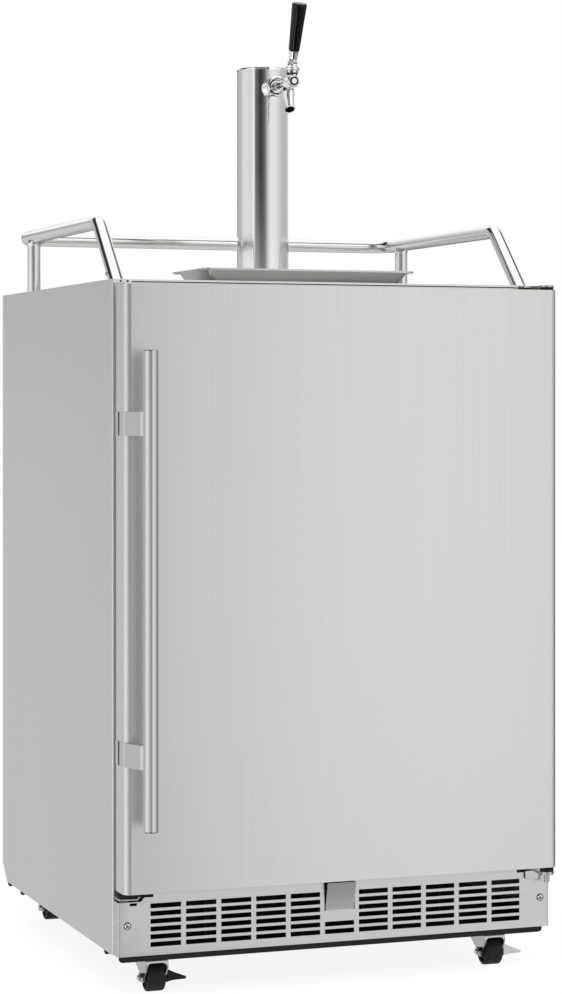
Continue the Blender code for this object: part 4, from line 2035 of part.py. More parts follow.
def caster_axle(name, pivot, braked):
    """The axle bolt, with a nut on one end and a head on the other."""
    nut = FORK_OUTER + GAP
    head = nut + (BRAKE_THICKNESS + GAP if braked else 0)
    corner = AXLE_HEAD_RADIUS
    bm = bmesh.new()
    centre = (-CASTER_TRAIL, WHEEL_RADIUS)
    add_prism(bm, circle(centre, AXLE_RADIUS, COARSE), "X", -nut - SHEET, head + SHEET)
    axle = piece(name, bm, ZINC)
    bm = bmesh.new()
    add_prism(bm, hexagon(centre, corner), "X", -nut - AXLE_HEAD_LENGTH, -nut)
    add_prism(bm, hexagon(centre, corner), "X", head, head + AXLE_HEAD_LENGTH)
    join(axle, tool(name + "_heads", bm))
    bm = bmesh.new()
    tip = circle(centre, AXLE_TIP_RADIUS, COARSE)
    add_prism(bm, tip, "X", -nut - AXLE_HEAD_LENGTH - AXLE_TIP, -nut - SHEET / 2)
    join(axle, tool(name + "_tip", bm))
    return set_caster(axle, pivot)


def caster_wheel(name, pivot):
    """A solid wheel with recessed sides, a hub and a bore."""
    half = WHEEL_WIDTH / 2
    bore = AXLE_RADIUS + AXLE_CLEARANCE
    rim = WHEEL_RADIUS - WHEEL_SHOULDER - WHEEL_RIM
    side = [
        (bore, half), (WHEEL_HUB_RADIUS, half), (rim, half - WHEEL_RECESS), (rim + WHEEL_RECESS, half),
        (WHEEL_RADIUS - WHEEL_SHOULDER, half), (WHEEL_RADIUS, half - WHEEL_SHOULDER),
    ]
    profile = side + [(radius, -along) for radius, along in reversed(side)]
    bm = bmesh.new()
    add_turned(bm, profile, "X", (0, -CASTER_TRAIL, WHEEL_RADIUS), MEDIUM, closed=True)
    wheel = piece(name, bm, TYRE)
    return set_caster(wheel, pivot, (0, -CASTER_TRAIL, WHEEL_RADIUS))


def brake_lever(name, pivot, finish):
    """A boss round the axle and a wing that droops and tapers to the side, for a foot to press."""
    root = FORK_OUTER + GAP
    front = -CASTER_TRAIL - BRAKE_FORWARD
    centre = (-CASTER_TRAIL, WHEEL_RADIUS)
    bm = bmesh.new()
    add_prism(bm, circle(centre, BRAKE_BOSS_RADIUS, MEDIUM), "X", root, root + BRAKE_THICKNESS)
    lever = piece(name, bm, finish)
    middle = WHEEL_RADIUS + BRAKE_RISE
    waist_along, waist_height = BRAKE_WAIST_SHARES
    waist_x = root + BRAKE_REACH * waist_along
    spans = (
        (root, middle, BRAKE_ROOT), (waist_x, middle - BRAKE_DROOP * waist_along, BRAKE_ROOT * waist_height),
        (root + BRAKE_REACH, middle - BRAKE_DROOP, BRAKE_TIP),
    )
    upper = [(x, level + height / 2) for x, level, height in spans]
    lower = [(x, level - height / 2) for x, level, height in reversed(spans)]
    bm = bmesh.new()
    add_prism(bm, upper + lower, "Y", front, front + BRAKE_THICKNESS)
    join(lever, tool(name + "_wing", bm))
    bm = bmesh.new()
    hole = circle(centre, AXLE_RADIUS + AXLE_CLEARANCE, COARSE)
    add_prism(bm, hole, "X", root - OVERRUN, root + BRAKE_THICKNESS + OVERRUN)
    cut(lever, tool(name + "_hole", bm))
    return set_caster(lever, pivot, (0, -CASTER_TRAIL, WHEEL_RADIUS))


def main():
    clear_scene()
    side_panel("left_side_panel", -1)
    side_panel("right_side_panel", 1)
    top_panel()
    back_panel()
    rear_cover()
    base_pan()
    plinth_strip()
    foam_insulation()
    inner_liner()
    kick_grille()
    lower_hinge()
    upper_hinge()

    door_skin()
    door_liner()
    door_gasket()
    handle_bar()
    handle_bracket("upper_handle_bracket", 1)
    handle_bracket("lower_handle_bracket", -1)
    hinge_bushing("lower_bushing", DOOR_BOTTOM, 1, DOOR_BOTTOM - LOWER_PLATE_TOP - GAP - RUNNING_GAP)
    hinge_bushing("upper_bushing", DOOR_TOP, -1, UPPER_PLATE_BOTTOM - DOOR_TOP - GAP - RUNNING_GAP)

    keg_plate()
    evaporator_cover()
    control_housing()
    light_lens()
    thermostat_knob()
    gas_port_plug()

    compressor()
    condenser()
    fan_shroud()
    condenser_fan()
    power_inlet()

    guard_rail()
    tower_flange()
    tower_column()
    tower_cap()
    shank()
    coupling_nut()
    faucet_body()
    tap_lever()
    tap_handle()
    drip_tray()
    drip_grate()

    pivots = {
        "front_left": (-CASTER_X, CASTER_FRONT_Y, 0),
        "front_right": (CASTER_X, CASTER_FRONT_Y, 0),
        "rear_left": (-CASTER_X, CASTER_REAR_Y, math.pi),
        "rear_right": (CASTER_X, CASTER_REAR_Y, math.pi),
    }
    for corner, pivot in pivots.items():
        caster_plate(corner + "_plate", pivot)
        caster_fork(corner + "_fork", pivot)
        caster_axle(corner + "_axle", pivot, corner.startswith("front"))
        caster_wheel(corner + "_wheel", pivot)
    brake_lever("front_left_brake", pivots["front_left"], BLACK_PLASTIC)
    brake_lever("front_right_brake", pivots["front_right"], ZINC)


main()
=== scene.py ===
"""Looks of the kegerator: fine pieces, finishes and studio, set around the packed model.

Metres, +Z up, the door faces -Y. Pieces that stand for a node are set by that node's mesh or box, and
the fine ones beside them by small offsets from those.
"""

import json
import math

import bmesh
import bpy
from bpy.props import FloatProperty, FloatVectorProperty, IntProperty, PointerProperty
from mathutils import Matrix, Vector

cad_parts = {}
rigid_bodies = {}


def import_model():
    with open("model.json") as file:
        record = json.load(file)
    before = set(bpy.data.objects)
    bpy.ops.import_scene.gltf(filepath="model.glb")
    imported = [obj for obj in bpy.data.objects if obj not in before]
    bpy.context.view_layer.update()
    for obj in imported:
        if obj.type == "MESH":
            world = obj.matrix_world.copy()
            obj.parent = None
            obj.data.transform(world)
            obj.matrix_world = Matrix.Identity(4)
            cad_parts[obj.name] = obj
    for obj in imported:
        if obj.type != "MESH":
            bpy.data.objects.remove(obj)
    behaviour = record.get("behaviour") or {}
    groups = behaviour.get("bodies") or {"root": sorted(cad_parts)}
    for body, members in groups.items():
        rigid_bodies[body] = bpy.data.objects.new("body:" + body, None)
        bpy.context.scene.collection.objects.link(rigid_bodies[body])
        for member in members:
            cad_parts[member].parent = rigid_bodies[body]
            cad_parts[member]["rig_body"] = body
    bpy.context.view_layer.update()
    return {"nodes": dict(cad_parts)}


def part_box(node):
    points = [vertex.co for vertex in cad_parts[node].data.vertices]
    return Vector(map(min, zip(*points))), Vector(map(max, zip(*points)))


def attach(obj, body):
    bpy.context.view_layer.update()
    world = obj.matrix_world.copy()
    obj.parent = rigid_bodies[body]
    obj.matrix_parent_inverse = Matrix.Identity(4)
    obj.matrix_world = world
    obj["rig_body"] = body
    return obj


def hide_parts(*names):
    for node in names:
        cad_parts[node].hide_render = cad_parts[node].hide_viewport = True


bl_info = {
    "name": "Kegerator Looks",
    "version": (1, 0, 0),
    "blender": (4, 5, 0),
    "location": "View3D > Sidebar > Kegerator",
    "description": "Dresses the packed kegerator in steel, chrome, plastic and rubber",
    "category": "Object",
}

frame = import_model()

AXES = {"X": Vector((1, 0, 0)), "Y": Vector((0, 1, 0)), "Z": Vector((0, 0, 1))}
CORNERS = ("front_left", "front_right", "rear_left", "rear_right")
ORDER = Vector((1.0, 0.618, 0.382))
MERGE = 0.00001
FLAT = math.radians(0.4)
SHARP = math.radians(34)


# Shader maths


class Wire:
    """A socket's value, on which sums can be written."""

    def __init__(self, shader, socket):
        self.shader = shader
        self.socket = socket

    def __add__(self, other):
        return self.shader.sum("ADD", self, other)

    def __sub__(self, other):
        return self.shader.sum("SUBTRACT", self, other)

    def __rsub__(self, other):
        return self.shader.sum("SUBTRACT", other, self)

    def __mul__(self, other):
        return self.shader.sum("MULTIPLY", self, other)

    def __truediv__(self, other):
        return self.shader.sum("DIVIDE", self, other)

    __radd__ = __add__
    __rmul__ = __mul__


class Shader:
    """The nodes of one finish or of the studio's world."""

    def __init__(self, tree):
        self.tree = tree

    def node(self, kind, settings=None, inputs=None, output=0):
        made = self.tree.nodes.new(kind)
        for key, value in (settings or {}).items():
            if key == "stops":
                self.set_stops(made.color_ramp, value)
            else:
                setattr(made, key, value)
        for key, value in (inputs or {}).items():
            self.feed(made.inputs[key], value)
        return Wire(self, made.outputs[output])

    def set_stops(self, ramp, stops):
        while len(ramp.elements) > 1:
            ramp.elements.remove(ramp.elements[-1])
        for index, (place, value) in enumerate(stops):
            element = ramp.elements[0] if index == 0 else ramp.elements.new(place)
            element.position = place
            element.color = (value, value, value, 1.0)

    def feed(self, socket, value):
        if isinstance(value, Wire):
            self.tree.links.new(value.socket, socket)
        elif hasattr(value, "__len__") and len(value) == 3 and socket.type == "RGBA":
            socket.default_value = (*value, 1.0)
        else:
            socket.default_value = value

    def sum(self, operation, first, second):
        return self.node("ShaderNodeMath", {"operation": operation}, {0: first, 1: second})

    def scaled(self, vector, factor):
        """A colour or vector times one number."""
        return self.node("ShaderNodeVectorMath", {"operation": "SCALE"}, {0: vector, "Scale": factor})

    def blend(self, factor, first, second):
        inputs = {"Factor": factor, "A": first, "B": second}
        return self.node("ShaderNodeMix", {"data_type": "RGBA"}, inputs, "Result")

    def spread(self, scale):
        """The place on the piece, times one scale or one for each axis."""
        factors = scale if hasattr(scale, "__len__") else [scale] * 3
        place = self.node("ShaderNodeTexCoord", output="Object")
        return self.node("ShaderNodeVectorMath", {"operation": "MULTIPLY"}, {0: place, 1: factors})

    def noise(self, scale, detail=2.0, roughness=0.5):
        inputs = {"Vector": self.spread(scale), "Scale": 1.0, "Detail": detail, "Roughness": roughness}
        return self.node("ShaderNodeTexNoise", {}, inputs)


class Finish(Shader):
    """One material: its surface's plain settings and what is linked to it."""

    def __init__(self, name, **settings):
        self.material = bpy.data.materials.new(name)
        self.material.use_nodes = True
        super().__init__(self.material.node_tree)
        self.surface = self.tree.nodes["Principled BSDF"]
        for key, value in settings.items():
            self.feed(self.surface.inputs[key.replace("_", " ")], value)

    def finished(self, colour, roughness, height, strength, distance):
        """Link what changes over the surface, and hand over the material."""
        bump = {"Height": height, "Strength": strength, "Distance": distance}
        self.feed(self.surface.inputs["Base Color"], colour)
        self.feed(self.surface.inputs["Roughness"], roughness)
        self.feed(self.surface.inputs["Normal"], self.node("ShaderNodeBump", {}, bump, "Normal"))
        return self.material


# Finishes. Every texture's scale is in cells to the metre.

GRAIN_FINE = 1500.0
GRAIN_LINE = 230.0
GRAIN_RUN = 5.0
GRAIN_LINE_RUN = 1.4
CLOUD = 2.6


def stretched(scale, along, run):
    """A texture's three scales, with another one along the named axis."""
    return [run if axis == along else scale for axis in "XYZ"]


def brushed_steel(name, along, colour, roughness, depth=1.0):
    """Sheet steel with a fine grain that runs along one axis, and faint broad bands in it."""
    made = Finish(name, Metallic=1.0)
    fine = made.noise(stretched(GRAIN_FINE, along, GRAIN_RUN), 2.0, 0.6) - 0.5
    line = made.noise(stretched(GRAIN_LINE, along, GRAIN_LINE_RUN), 3.0, 0.55) - 0.5
    cloud = made.noise(CLOUD) - 0.5
    tone = fine * (0.1 * depth) + line * (0.13 * depth) + cloud * 0.05 + 1.0
    dull = line * (0.12 * depth) + cloud * 0.06 + roughness
    return made.finished(made.scaled(colour, tone), dull, fine + line * 0.6, 0.16 * depth, 0.00006)


def satin_steel(name, colour, roughness):
    """Bead-blasted steel: even, dull and faintly grainy."""
    made = Finish(name, Metallic=1.0)
    grain = made.noise(900.0, 3.0, 0.6) - 0.5
    cloud = made.noise(14.0) - 0.5
    tone = grain * 0.22 + cloud * 0.06 + 1.0
    return made.finished(made.scaled(colour, tone), grain * 0.15 + roughness, grain, 0.25, 0.0001)


def polished_steel(name, along, colour, roughness):
    """Mirror-polished tube with faint lines left by the polishing belt."""
    made = Finish(name, Metallic=1.0)
    line = made.noise(stretched(420.0, along, 3.0), 3.0, 0.6) - 0.5
    haze = made.noise(22.0, 3.0, 0.6) - 0.5
    dull = line * 0.04 + haze * 0.05 + roughness
    return made.finished(made.scaled(colour, line * 0.08 + 1.0), dull, line, 0.05, 0.00004)


def chrome(name, colour, roughness):
    """Bright plating over a cast or turned piece, with a breath of haze."""
    made = Finish(name, Metallic=1.0)
    wave = made.noise(95.0) - 0.5
    haze = made.noise(300.0, 3.0) - 0.5
    tone = made.scaled(colour, wave * 0.04 + 1.0)
    return made.finished(tone, haze * 0.04 + roughness, wave, 0.05, 0.0003)


def zinc_plate(name, colour, roughness):
    """Bright zinc plating, slightly blotched."""
    made = Finish(name, Metallic=1.0)
    blotch = made.noise(130.0, 4.0, 0.65)
    grain = made.noise(1200.0) - 0.5
    tint = made.blend(blotch, colour, [value * shift for value, shift in zip(colour, (0.86, 0.9, 0.97))])
    return made.finished(tint, blotch * 0.22 + (roughness - 0.11), grain, 0.12, 0.00005)


def paint(name, colour, roughness):
    """Baked paint with orange peel and a trace of dust."""
    made = Finish(name, Specular_IOR_Level=0.25)
    peel = made.noise(520.0) - 0.5
    dust = made.noise(19.0, 4.0, 0.6)
    tint = made.blend(dust * 0.12, colour, [value + 0.02 for value in colour])
    return made.finished(tint, dust * 0.12 + (roughness - 0.06), peel, 0.22, 0.0002)


def moulded(name, colour, roughness, specular=0.5, grain=700.0):
    """Moulded plastic with a fine skin texture and slow changes of gloss."""
    made = Finish(name, Specular_IOR_Level=specular)
    skin = made.noise(grain) - 0.5
    cloud = made.noise(9.0, 3.0) - 0.5
    dull = cloud * 0.1 + skin * 0.06 + roughness
    return made.finished(made.scaled(colour, cloud * 0.05 + 1.0), dull, skin, 0.1, 0.00012)


def rubber(name, colour, roughness):
    """Black rubber with a matt skin and a little dust."""
    made = Finish(name, Specular_IOR_Level=0.18)
    skin = made.noise(1100.0, 3.0) - 0.5
    dust = made.noise(70.0, 5.0, 0.7)
    tint = made.blend(dust * 0.5, colour, [value + 0.03 for value in colour])
    return made.finished(tint, dust * 0.12 + (roughness - 0.05), skin, 0.2, 0.0001)


def foam(name, colour):
    """Rigid foam with open cells in its cut faces."""
    made = Finish(name)
    inputs = {"Vector": made.spread(450.0), "Scale": 1.0}
    cells = made.node("ShaderNodeTexVoronoi", {}, inputs, "Distance")
    return made.finished(made.scaled(colour, cells * 0.3 + 0.75), cells * 0.1 + 0.85, cells, 0.4, 0.0006)


def frosted(name, colour):
    """A frosted lens with fine ribs across it."""
    made = Finish(name, Transmission_Weight=0.25)
    inputs = {"Vector": made.spread(90.0), "Scale": 1.0}
    ribs = made.node("ShaderNodeTexWave", {"bands_direction": "X"}, inputs, "Fac")
    return made.finished(made.scaled(colour, ribs * 0.05 + 0.95), ribs * 0.1 + 0.35, ribs, 0.3, 0.0004)


# Meshes


def link_object(name, data):
    made = bpy.data.objects.new(name, data)
    bpy.context.scene.collection.objects.link(made)
    return made


def settle(bm):
    """Put a mesh's parts in the order of their places, which spin and extrude leave to chance."""
    bm.verts.sort(key=lambda vert: vert.co.dot(ORDER))
    bm.edges.sort(key=lambda edge: (edge.verts[0].co + edge.verts[1].co).dot(ORDER))
    bm.faces.sort(key=lambda face: face.calc_center_median().dot(ORDER))


def add_object(name, bm, drawn=False):
    """Make an object of a mesh. One that was turned or drawn gets the same order in every run."""
    if drawn:
        settle(bm)
    mesh = bpy.data.meshes.new(name)
    bm.to_mesh(mesh)
    bm.free()
    return link_object(name, mesh)


def merged(node):
    """A copy of a node's mesh, its loose triangles joined."""
    bm = bmesh.new()
    bm.from_mesh(frame["nodes"][node].data)
    bmesh.ops.remove_doubles(bm, verts=bm.verts, dist=MERGE)
    return bm


def fill_holes(bm):
    bmesh.ops.holes_fill(bm, edges=[edge for edge in bm.edges if edge.is_boundary], sides=0)


def flatten(bm):
    """Make one face of the triangles that lie in one plane."""
    bmesh.ops.dissolve_limit(bm, angle_limit=FLAT, verts=bm.verts, edges=bm.edges)


def soften(piece, width, segments, angle):
    """A narrow rounded edge on every sharp corner, as tumbling or folding leaves."""
    modifier = piece.modifiers.new("soft_edge", "BEVEL")
    modifier.width = width
    modifier.segments = segments
    modifier.limit_method = "ANGLE"
    modifier.angle_limit = angle
    modifier.harden_normals = True
    modifier.use_clamp_overlap = True


def dress(piece, finish, body="cabinet", nodes=(), edge=0.0, angle=SHARP, segments=2):
    """Give a finished mesh its look, its soft edges, its body and the nodes that it stands for."""
    piece.data.materials.clear()
    piece.data.materials.append(look(finish))
    if "custom_normal" in piece.data.attributes:
        piece.data.attributes.remove(piece.data.attributes["custom_normal"])
    piece.data.shade_smooth()
    piece.data.set_sharp_from_angle(angle=angle)
    if edge > 0:
        soften(piece, edge, segments, angle)
    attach(piece, body)
    if nodes:
        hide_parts(*nodes)


def body_of(node):
    return frame["nodes"][node]["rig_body"]


def from_node(node, name, finish, edge=0.0, segments=2):
    """A merged copy of a node, whose bends are shaded smooth and whose corners are softened."""
    bm = merged(node)
    flatten(bm)
    dress(add_object(name, bm), finish, body_of(node), [node], edge, segments=segments)


def block(bm, size, centre):
    """A box of that size about a centre."""
    made = bmesh.ops.create_cube(bm, size=1.0)["verts"]
    bmesh.ops.scale(bm, verts=made, vec=size)
    bmesh.ops.translate(bm, verts=made, vec=centre)
    return made


def turned(bm, profile, axis, centre, steps):
    """Spin an outline of (radius, along) points about an axis through a centre."""
    lines = AXES[axis]
    across = AXES["Z"] if axis != "Z" else AXES["X"]
    verts = [bm.verts.new(across * radius + lines * along) for radius, along in profile]
    edges = [bm.edges.new(pair) for pair in zip(verts, verts[1:])]
    if profile[0][0] > 0 and profile[-1][0] > 0:
        edges.append(bm.edges.new((verts[-1], verts[0])))
    before = set(bm.verts) - set(verts)
    bmesh.ops.spin(
        bm, geom=verts + edges, cent=(0, 0, 0), axis=lines, dvec=(0, 0, 0), angle=math.tau, steps=steps,
        use_merge=True, use_duplicate=False,
    )
    made = [vert for vert in bm.verts if vert not in before]
    bmesh.ops.remove_doubles(bm, verts=made, dist=MERGE)
    made = [vert for vert in bm.verts if vert not in before]
    bmesh.ops.translate(bm, verts=made, vec=centre)
    faces = dict.fromkeys(face for vert in made for face in vert.link_faces)
    bmesh.ops.recalc_face_normals(bm, faces=list(faces))
    return made


def turned_piece(name, profile, axis, centre, steps):
    bm = bmesh.new()
    turned(bm, profile, axis, centre, steps)
    return add_object(name, bm, drawn=True)


def ring_edges(verts):
    """The edges between the given points, each once and in the same order in every run."""
    chosen = set(verts)
    edges = dict.fromkeys(edge for vert in verts for edge in vert.link_edges)
    return [edge for edge in edges if all(vert in chosen for vert in edge.verts)]


def grown(bm, rim):
    """Extrude a rim, and give back the new one."""
    made = bmesh.ops.extrude_edge_only(bm, edges=ring_edges(rim))
    return [part for part in made["geom"] if isinstance(part, bmesh.types.BMVert)]


class Tube:
    """A round tube drawn through space: straight runs and bends, one after another."""

    def __init__(self, bm, start, heading, radius, sides):
        self.bm = bm
        self.at = Vector(start)
        self.heading = Vector(heading).normalized()
        turn = AXES["Z"].rotation_difference(self.heading).to_matrix().to_4x4()
        made = bmesh.ops.create_circle(
            bm, cap_ends=False, radius=radius, segments=sides, matrix=Matrix.Translation(self.at) @ turn,
        )
        self.rim = made["verts"]
        self.first = list(self.rim)

    def run(self, length):
        self.rim = grown(self.bm, self.rim)
        bmesh.ops.translate(self.bm, verts=self.rim, vec=self.heading * length)
        self.at += self.heading * length
        return self

    def bend(self, towards, radius, steps):
        """Turn the heading to a new one, on an arc of the given radius."""
        towards = Vector(towards).normalized()
        axis = self.heading.cross(towards).normalized()
        angle = self.heading.angle(towards)
        centre = self.at + axis.cross(self.heading).normalized() * radius
        made = bmesh.ops.spin(
            self.bm, geom=self.rim + ring_edges(self.rim), cent=centre, axis=axis, dvec=(0, 0, 0),
            angle=angle, steps=steps, use_merge=False, use_duplicate=False,
        )
        self.rim = [part for part in made["geom_last"] if isinstance(part, bmesh.types.BMVert)]
        self.at = centre + Matrix.Rotation(angle, 3, axis) @ (self.at - centre)
        self.heading = towards
        return self

    def close(self):
        bmesh.ops.contextual_create(self.bm, geom=self.first)
        bmesh.ops.contextual_create(self.bm, geom=self.rim)
        return self


def apply_modifiers(piece):
    shown = piece.evaluated_get(bpy.context.evaluated_depsgraph_get())
    mesh = bpy.data.meshes.new_from_object(shown)
    piece.modifiers.clear()
    piece.data = mesh


def carve(piece, bm):
    """Cut a body out of a piece and keep the result as the piece's own mesh."""
    cutter = add_object("cutter", bm)
    modifier = piece.modifiers.new("carve", "BOOLEAN")
    modifier.operation = "DIFFERENCE"
    modifier.solver = "EXACT"
    modifier.object = cutter
    apply_modifiers(piece)
    bpy.data.objects.remove(cutter, do_unlink=True)


def hexagon(radius, depth, place):
    bm = bmesh.new()
    bmesh.ops.create_cone(
        bm, cap_ends=True, segments=6, radius1=radius, radius2=radius, depth=depth, matrix=place,
    )
    return bm


def carve_block(piece, size, centre):
    bm = bmesh.new()
    block(bm, size, centre)
    carve(piece, bm)


def screw_head(name, centre, axis, radius, height, finish, hexagonal=False):
    """A domed screw head with a cross or a six-sided socket in it, and a dark floor in that."""
    seat = Matrix.Translation(centre) @ AXES["Z"].rotation_difference(Vector(axis)).to_matrix().to_4x4()
    crown = [
        (0, height), (radius * 0.45, height * 0.96), (radius * 0.75, height * 0.78),
        (radius * 0.94, height * 0.46), (radius, height * 0.16), (radius, 0), (0, 0),
    ]
    head = turned_piece(name, crown, "Z", (0, 0, 0), 32)
    if hexagonal:
        carve(head, hexagon(radius * 0.45, height, Matrix.Translation((0, 0, height))))
    else:
        for wide, deep in ((1.1, 0.28), (0.28, 1.1)):
            carve_block(head, (radius * wide, radius * deep, height * 0.9), (0, 0, height))
    head.data.transform(seat)
    dress(head, finish)
    # The dark disc below is painted shade: it stands for the shade on the floor of the socket.
    reach = radius * 0.62
    floor = [(0, height * 0.4), (reach, height * 0.4), (reach, height * 0.62), (0, height * 0.62)]
    dark = turned_piece(name + "_recess", floor, "Z", (0, 0, 0), 24)
    dark.data.transform(seat)
    dress(dark, "void")


# Settings


def colour_field(name, description, default):
    """A colour that a user may change."""
    return FloatVectorProperty(
        name=name, description=description, default=default, subtype="COLOR", min=0, max=1,
    )


def number_field(name, description, default, low, high, **kind):
    """A value between two bounds that a user may change."""
    return FloatProperty(name=name, description=description, default=default, min=low, max=high, **kind)


class SteelLook(bpy.types.PropertyGroup):
    panel: colour_field("Panels", "Colour of the brushed panels", (0.7, 0.706, 0.69))
    panel_roughness: number_field("Panel roughness", "How dull the brushed panels are", 0.33, 0, 1)
    grain: number_field("Grain", "How strong the brushed grain is", 1.0, 0, 3)
    polish: colour_field("Polished tube", "Colour of the tower", (0.86, 0.86, 0.85))
    polish_roughness: number_field("Polish roughness", "How dull the tower is", 0.1, 0, 1)
    chrome: colour_field("Chrome", "Colour of the faucet", (0.92, 0.92, 0.92))
    zinc: colour_field("Zinc", "Colour of the casters and hinges", (0.54, 0.54, 0.53))


class SoftLook(bpy.types.PropertyGroup):
    liner: colour_field("Liner", "Colour of the white plastic inside", (0.84, 0.85, 0.84))
    black: colour_field("Black plastic", "Colour of the handle and knob", (0.004, 0.004, 0.004))
    tyre: colour_field("Tyres", "Colour of the wheels", (0.012, 0.012, 0.012))
    enamel: colour_field("Black paint", "Colour of the painted steel", (0.014, 0.014, 0.014))


class FineSizes(bpy.types.PropertyGroup):
    sheet_edge: number_field("Sheet edge", "Radius of the softened edges", 0.00035, 0, 0.002, unit="LENGTH")
    rail_bend: number_field("Rail bend", "Radius of its front bends", 0.026, 0.01, 0.05, unit="LENGTH")
    rail_corner: number_field("Rail corner", "Radius of its rear corners", 0.034, 0.01, 0.06, unit="LENGTH")
    tube_sides: IntProperty(
        name="Tube sides", description="Facets round each tube of the rail", default=40, min=12, max=96,
    )


class StudioLook(bpy.types.PropertyGroup):
    floor: colour_field("Floor", "Colour of the floor", (0.93, 0.93, 0.93))
    glow: number_field("Floor glow", "Share of plain white in the floor that the camera sees", 0.84, 0, 1)
    floor_white: number_field("Floor white", "Brightness of that plain white", 1.07, 0, 2)
    level: number_field("Light level", "Even light that falls on the object", 0.8, 0, 2)
    ceiling: number_field("Ceiling", "Brightness of the soft box overhead in reflections", 1.25, 0, 3)
    ground: number_field("Ground", "Brightness of the floor in reflections", 0.78, 0, 2)
    key: number_field("Key light", "Power of the large lamp in front", 42.0, 0, 500, unit="POWER")
    lens: number_field("Lens", "Focal length of the camera", 95.62, 20, 200, unit="CAMERA")


LOOKS = {}


def look(name):
    """The material of that name. All are made the first time that one is asked for."""
    if not LOOKS:
        steel = bpy.context.scene.kegerator_steel
        soft = bpy.context.scene.kegerator_soft
        panel, dull, grain = tuple(steel.panel), steel.panel_roughness, steel.grain
        # The kick plate's steel is the panels' colour darkened: painted shade for the dimmer light low on
        # the front.
        kick = tuple(value * 0.89 for value in panel)
        kinds = {
            "steel_upright": (brushed_steel, "Z", panel, dull, grain),
            "steel_level": (brushed_steel, "X", panel, dull, grain),
            "steel_kick": (brushed_steel, "X", kick, dull, grain),
            "steel_bar": (brushed_steel, "Z", (0.58, 0.58, 0.57), 0.14, grain * 0.6),
            "steel_tray": (brushed_steel, "X", (0.56, 0.56, 0.55), 0.22, grain * 0.8),
            "steel_blasted": (satin_steel, (0.7, 0.7, 0.7), 0.42),
            "tube_upright": (polished_steel, "Z", tuple(steel.polish), steel.polish_roughness),
            "tube_rail": (polished_steel, "Y", (0.78, 0.78, 0.77), 0.16),
            "chrome": (chrome, tuple(steel.chrome), 0.05),
            "zinc": (zinc_plate, tuple(steel.zinc), 0.2),
            "black_paint": (paint, tuple(soft.enamel), 0.48),
            "black_plastic": (moulded, tuple(soft.black), 0.36, 0.25),
            "black_gloss": (moulded, tuple(soft.black), 0.14, 0.3, 160.0),
            # Near-black matt: painted shade in the screw sockets and the spout's bore, and the black seal
            # round the faucet's button.
            "void": (moulded, (0.002, 0.002, 0.002), 0.7, 0.05),
            "white_plastic": (moulded, tuple(soft.liner), 0.38),
            "gasket": (rubber, (0.016, 0.016, 0.016), 0.62),
            "tyre": (rubber, tuple(soft.tyre), 0.55),
            "foam": (foam, (0.74, 0.66, 0.4)),
            "lens": (frosted, (0.92, 0.92, 0.9)),
        }
        for key, (finish, *values) in kinds.items():
            LOOKS[key] = finish(key, *values)
    return LOOKS[name]


# Pieces

# Places that no box gives, in metres from the middle, the front or the floor.
# A black strip under the top's front edge: painted shadow of the gap at the seam.
TOP_SEAM_SHADE = (-0.274, 0.26)  # its two ends
TOP_HOLE_SHADES = (-0.2886, -0.2794)
BUMPER_ASIDE = 0.2955
BUMPER_ROWS = (-0.1975, 0.2317, 0.305)
KICK_SCREW = (0.286, 0.0953)  # how far aside, how high
KICK_DOME = 0.0052  # radius within which the plain screw dome lies
KICK_FACE = 0.0091  # the slotted face, behind the plate's front
RAIL_RADIUS = 0.0095
RAIL_ASIDE = 0.2832
RAIL_SHOULDER = -0.116325  # where the arms bend down to the front
RAIL_POST = 0.2176
RAIL_SCREW = (-0.186825, 0.919)
LEVER_BACK = 0.01  # the lever's ball, behind the faucet's front
LEVER_HEIGHT = 1.21
LEVER_LEAN = math.radians(20)


def strip(name, low, high, finish="gasket"):
    """A slim strip between two corners, its edges rounded over."""
    bm = bmesh.new()
    size = Vector(high) - Vector(low)
    block(bm, size, (Vector(low) + Vector(high)) / 2)
    dress(add_object(name, bm), finish, edge=min(size) * 0.2)


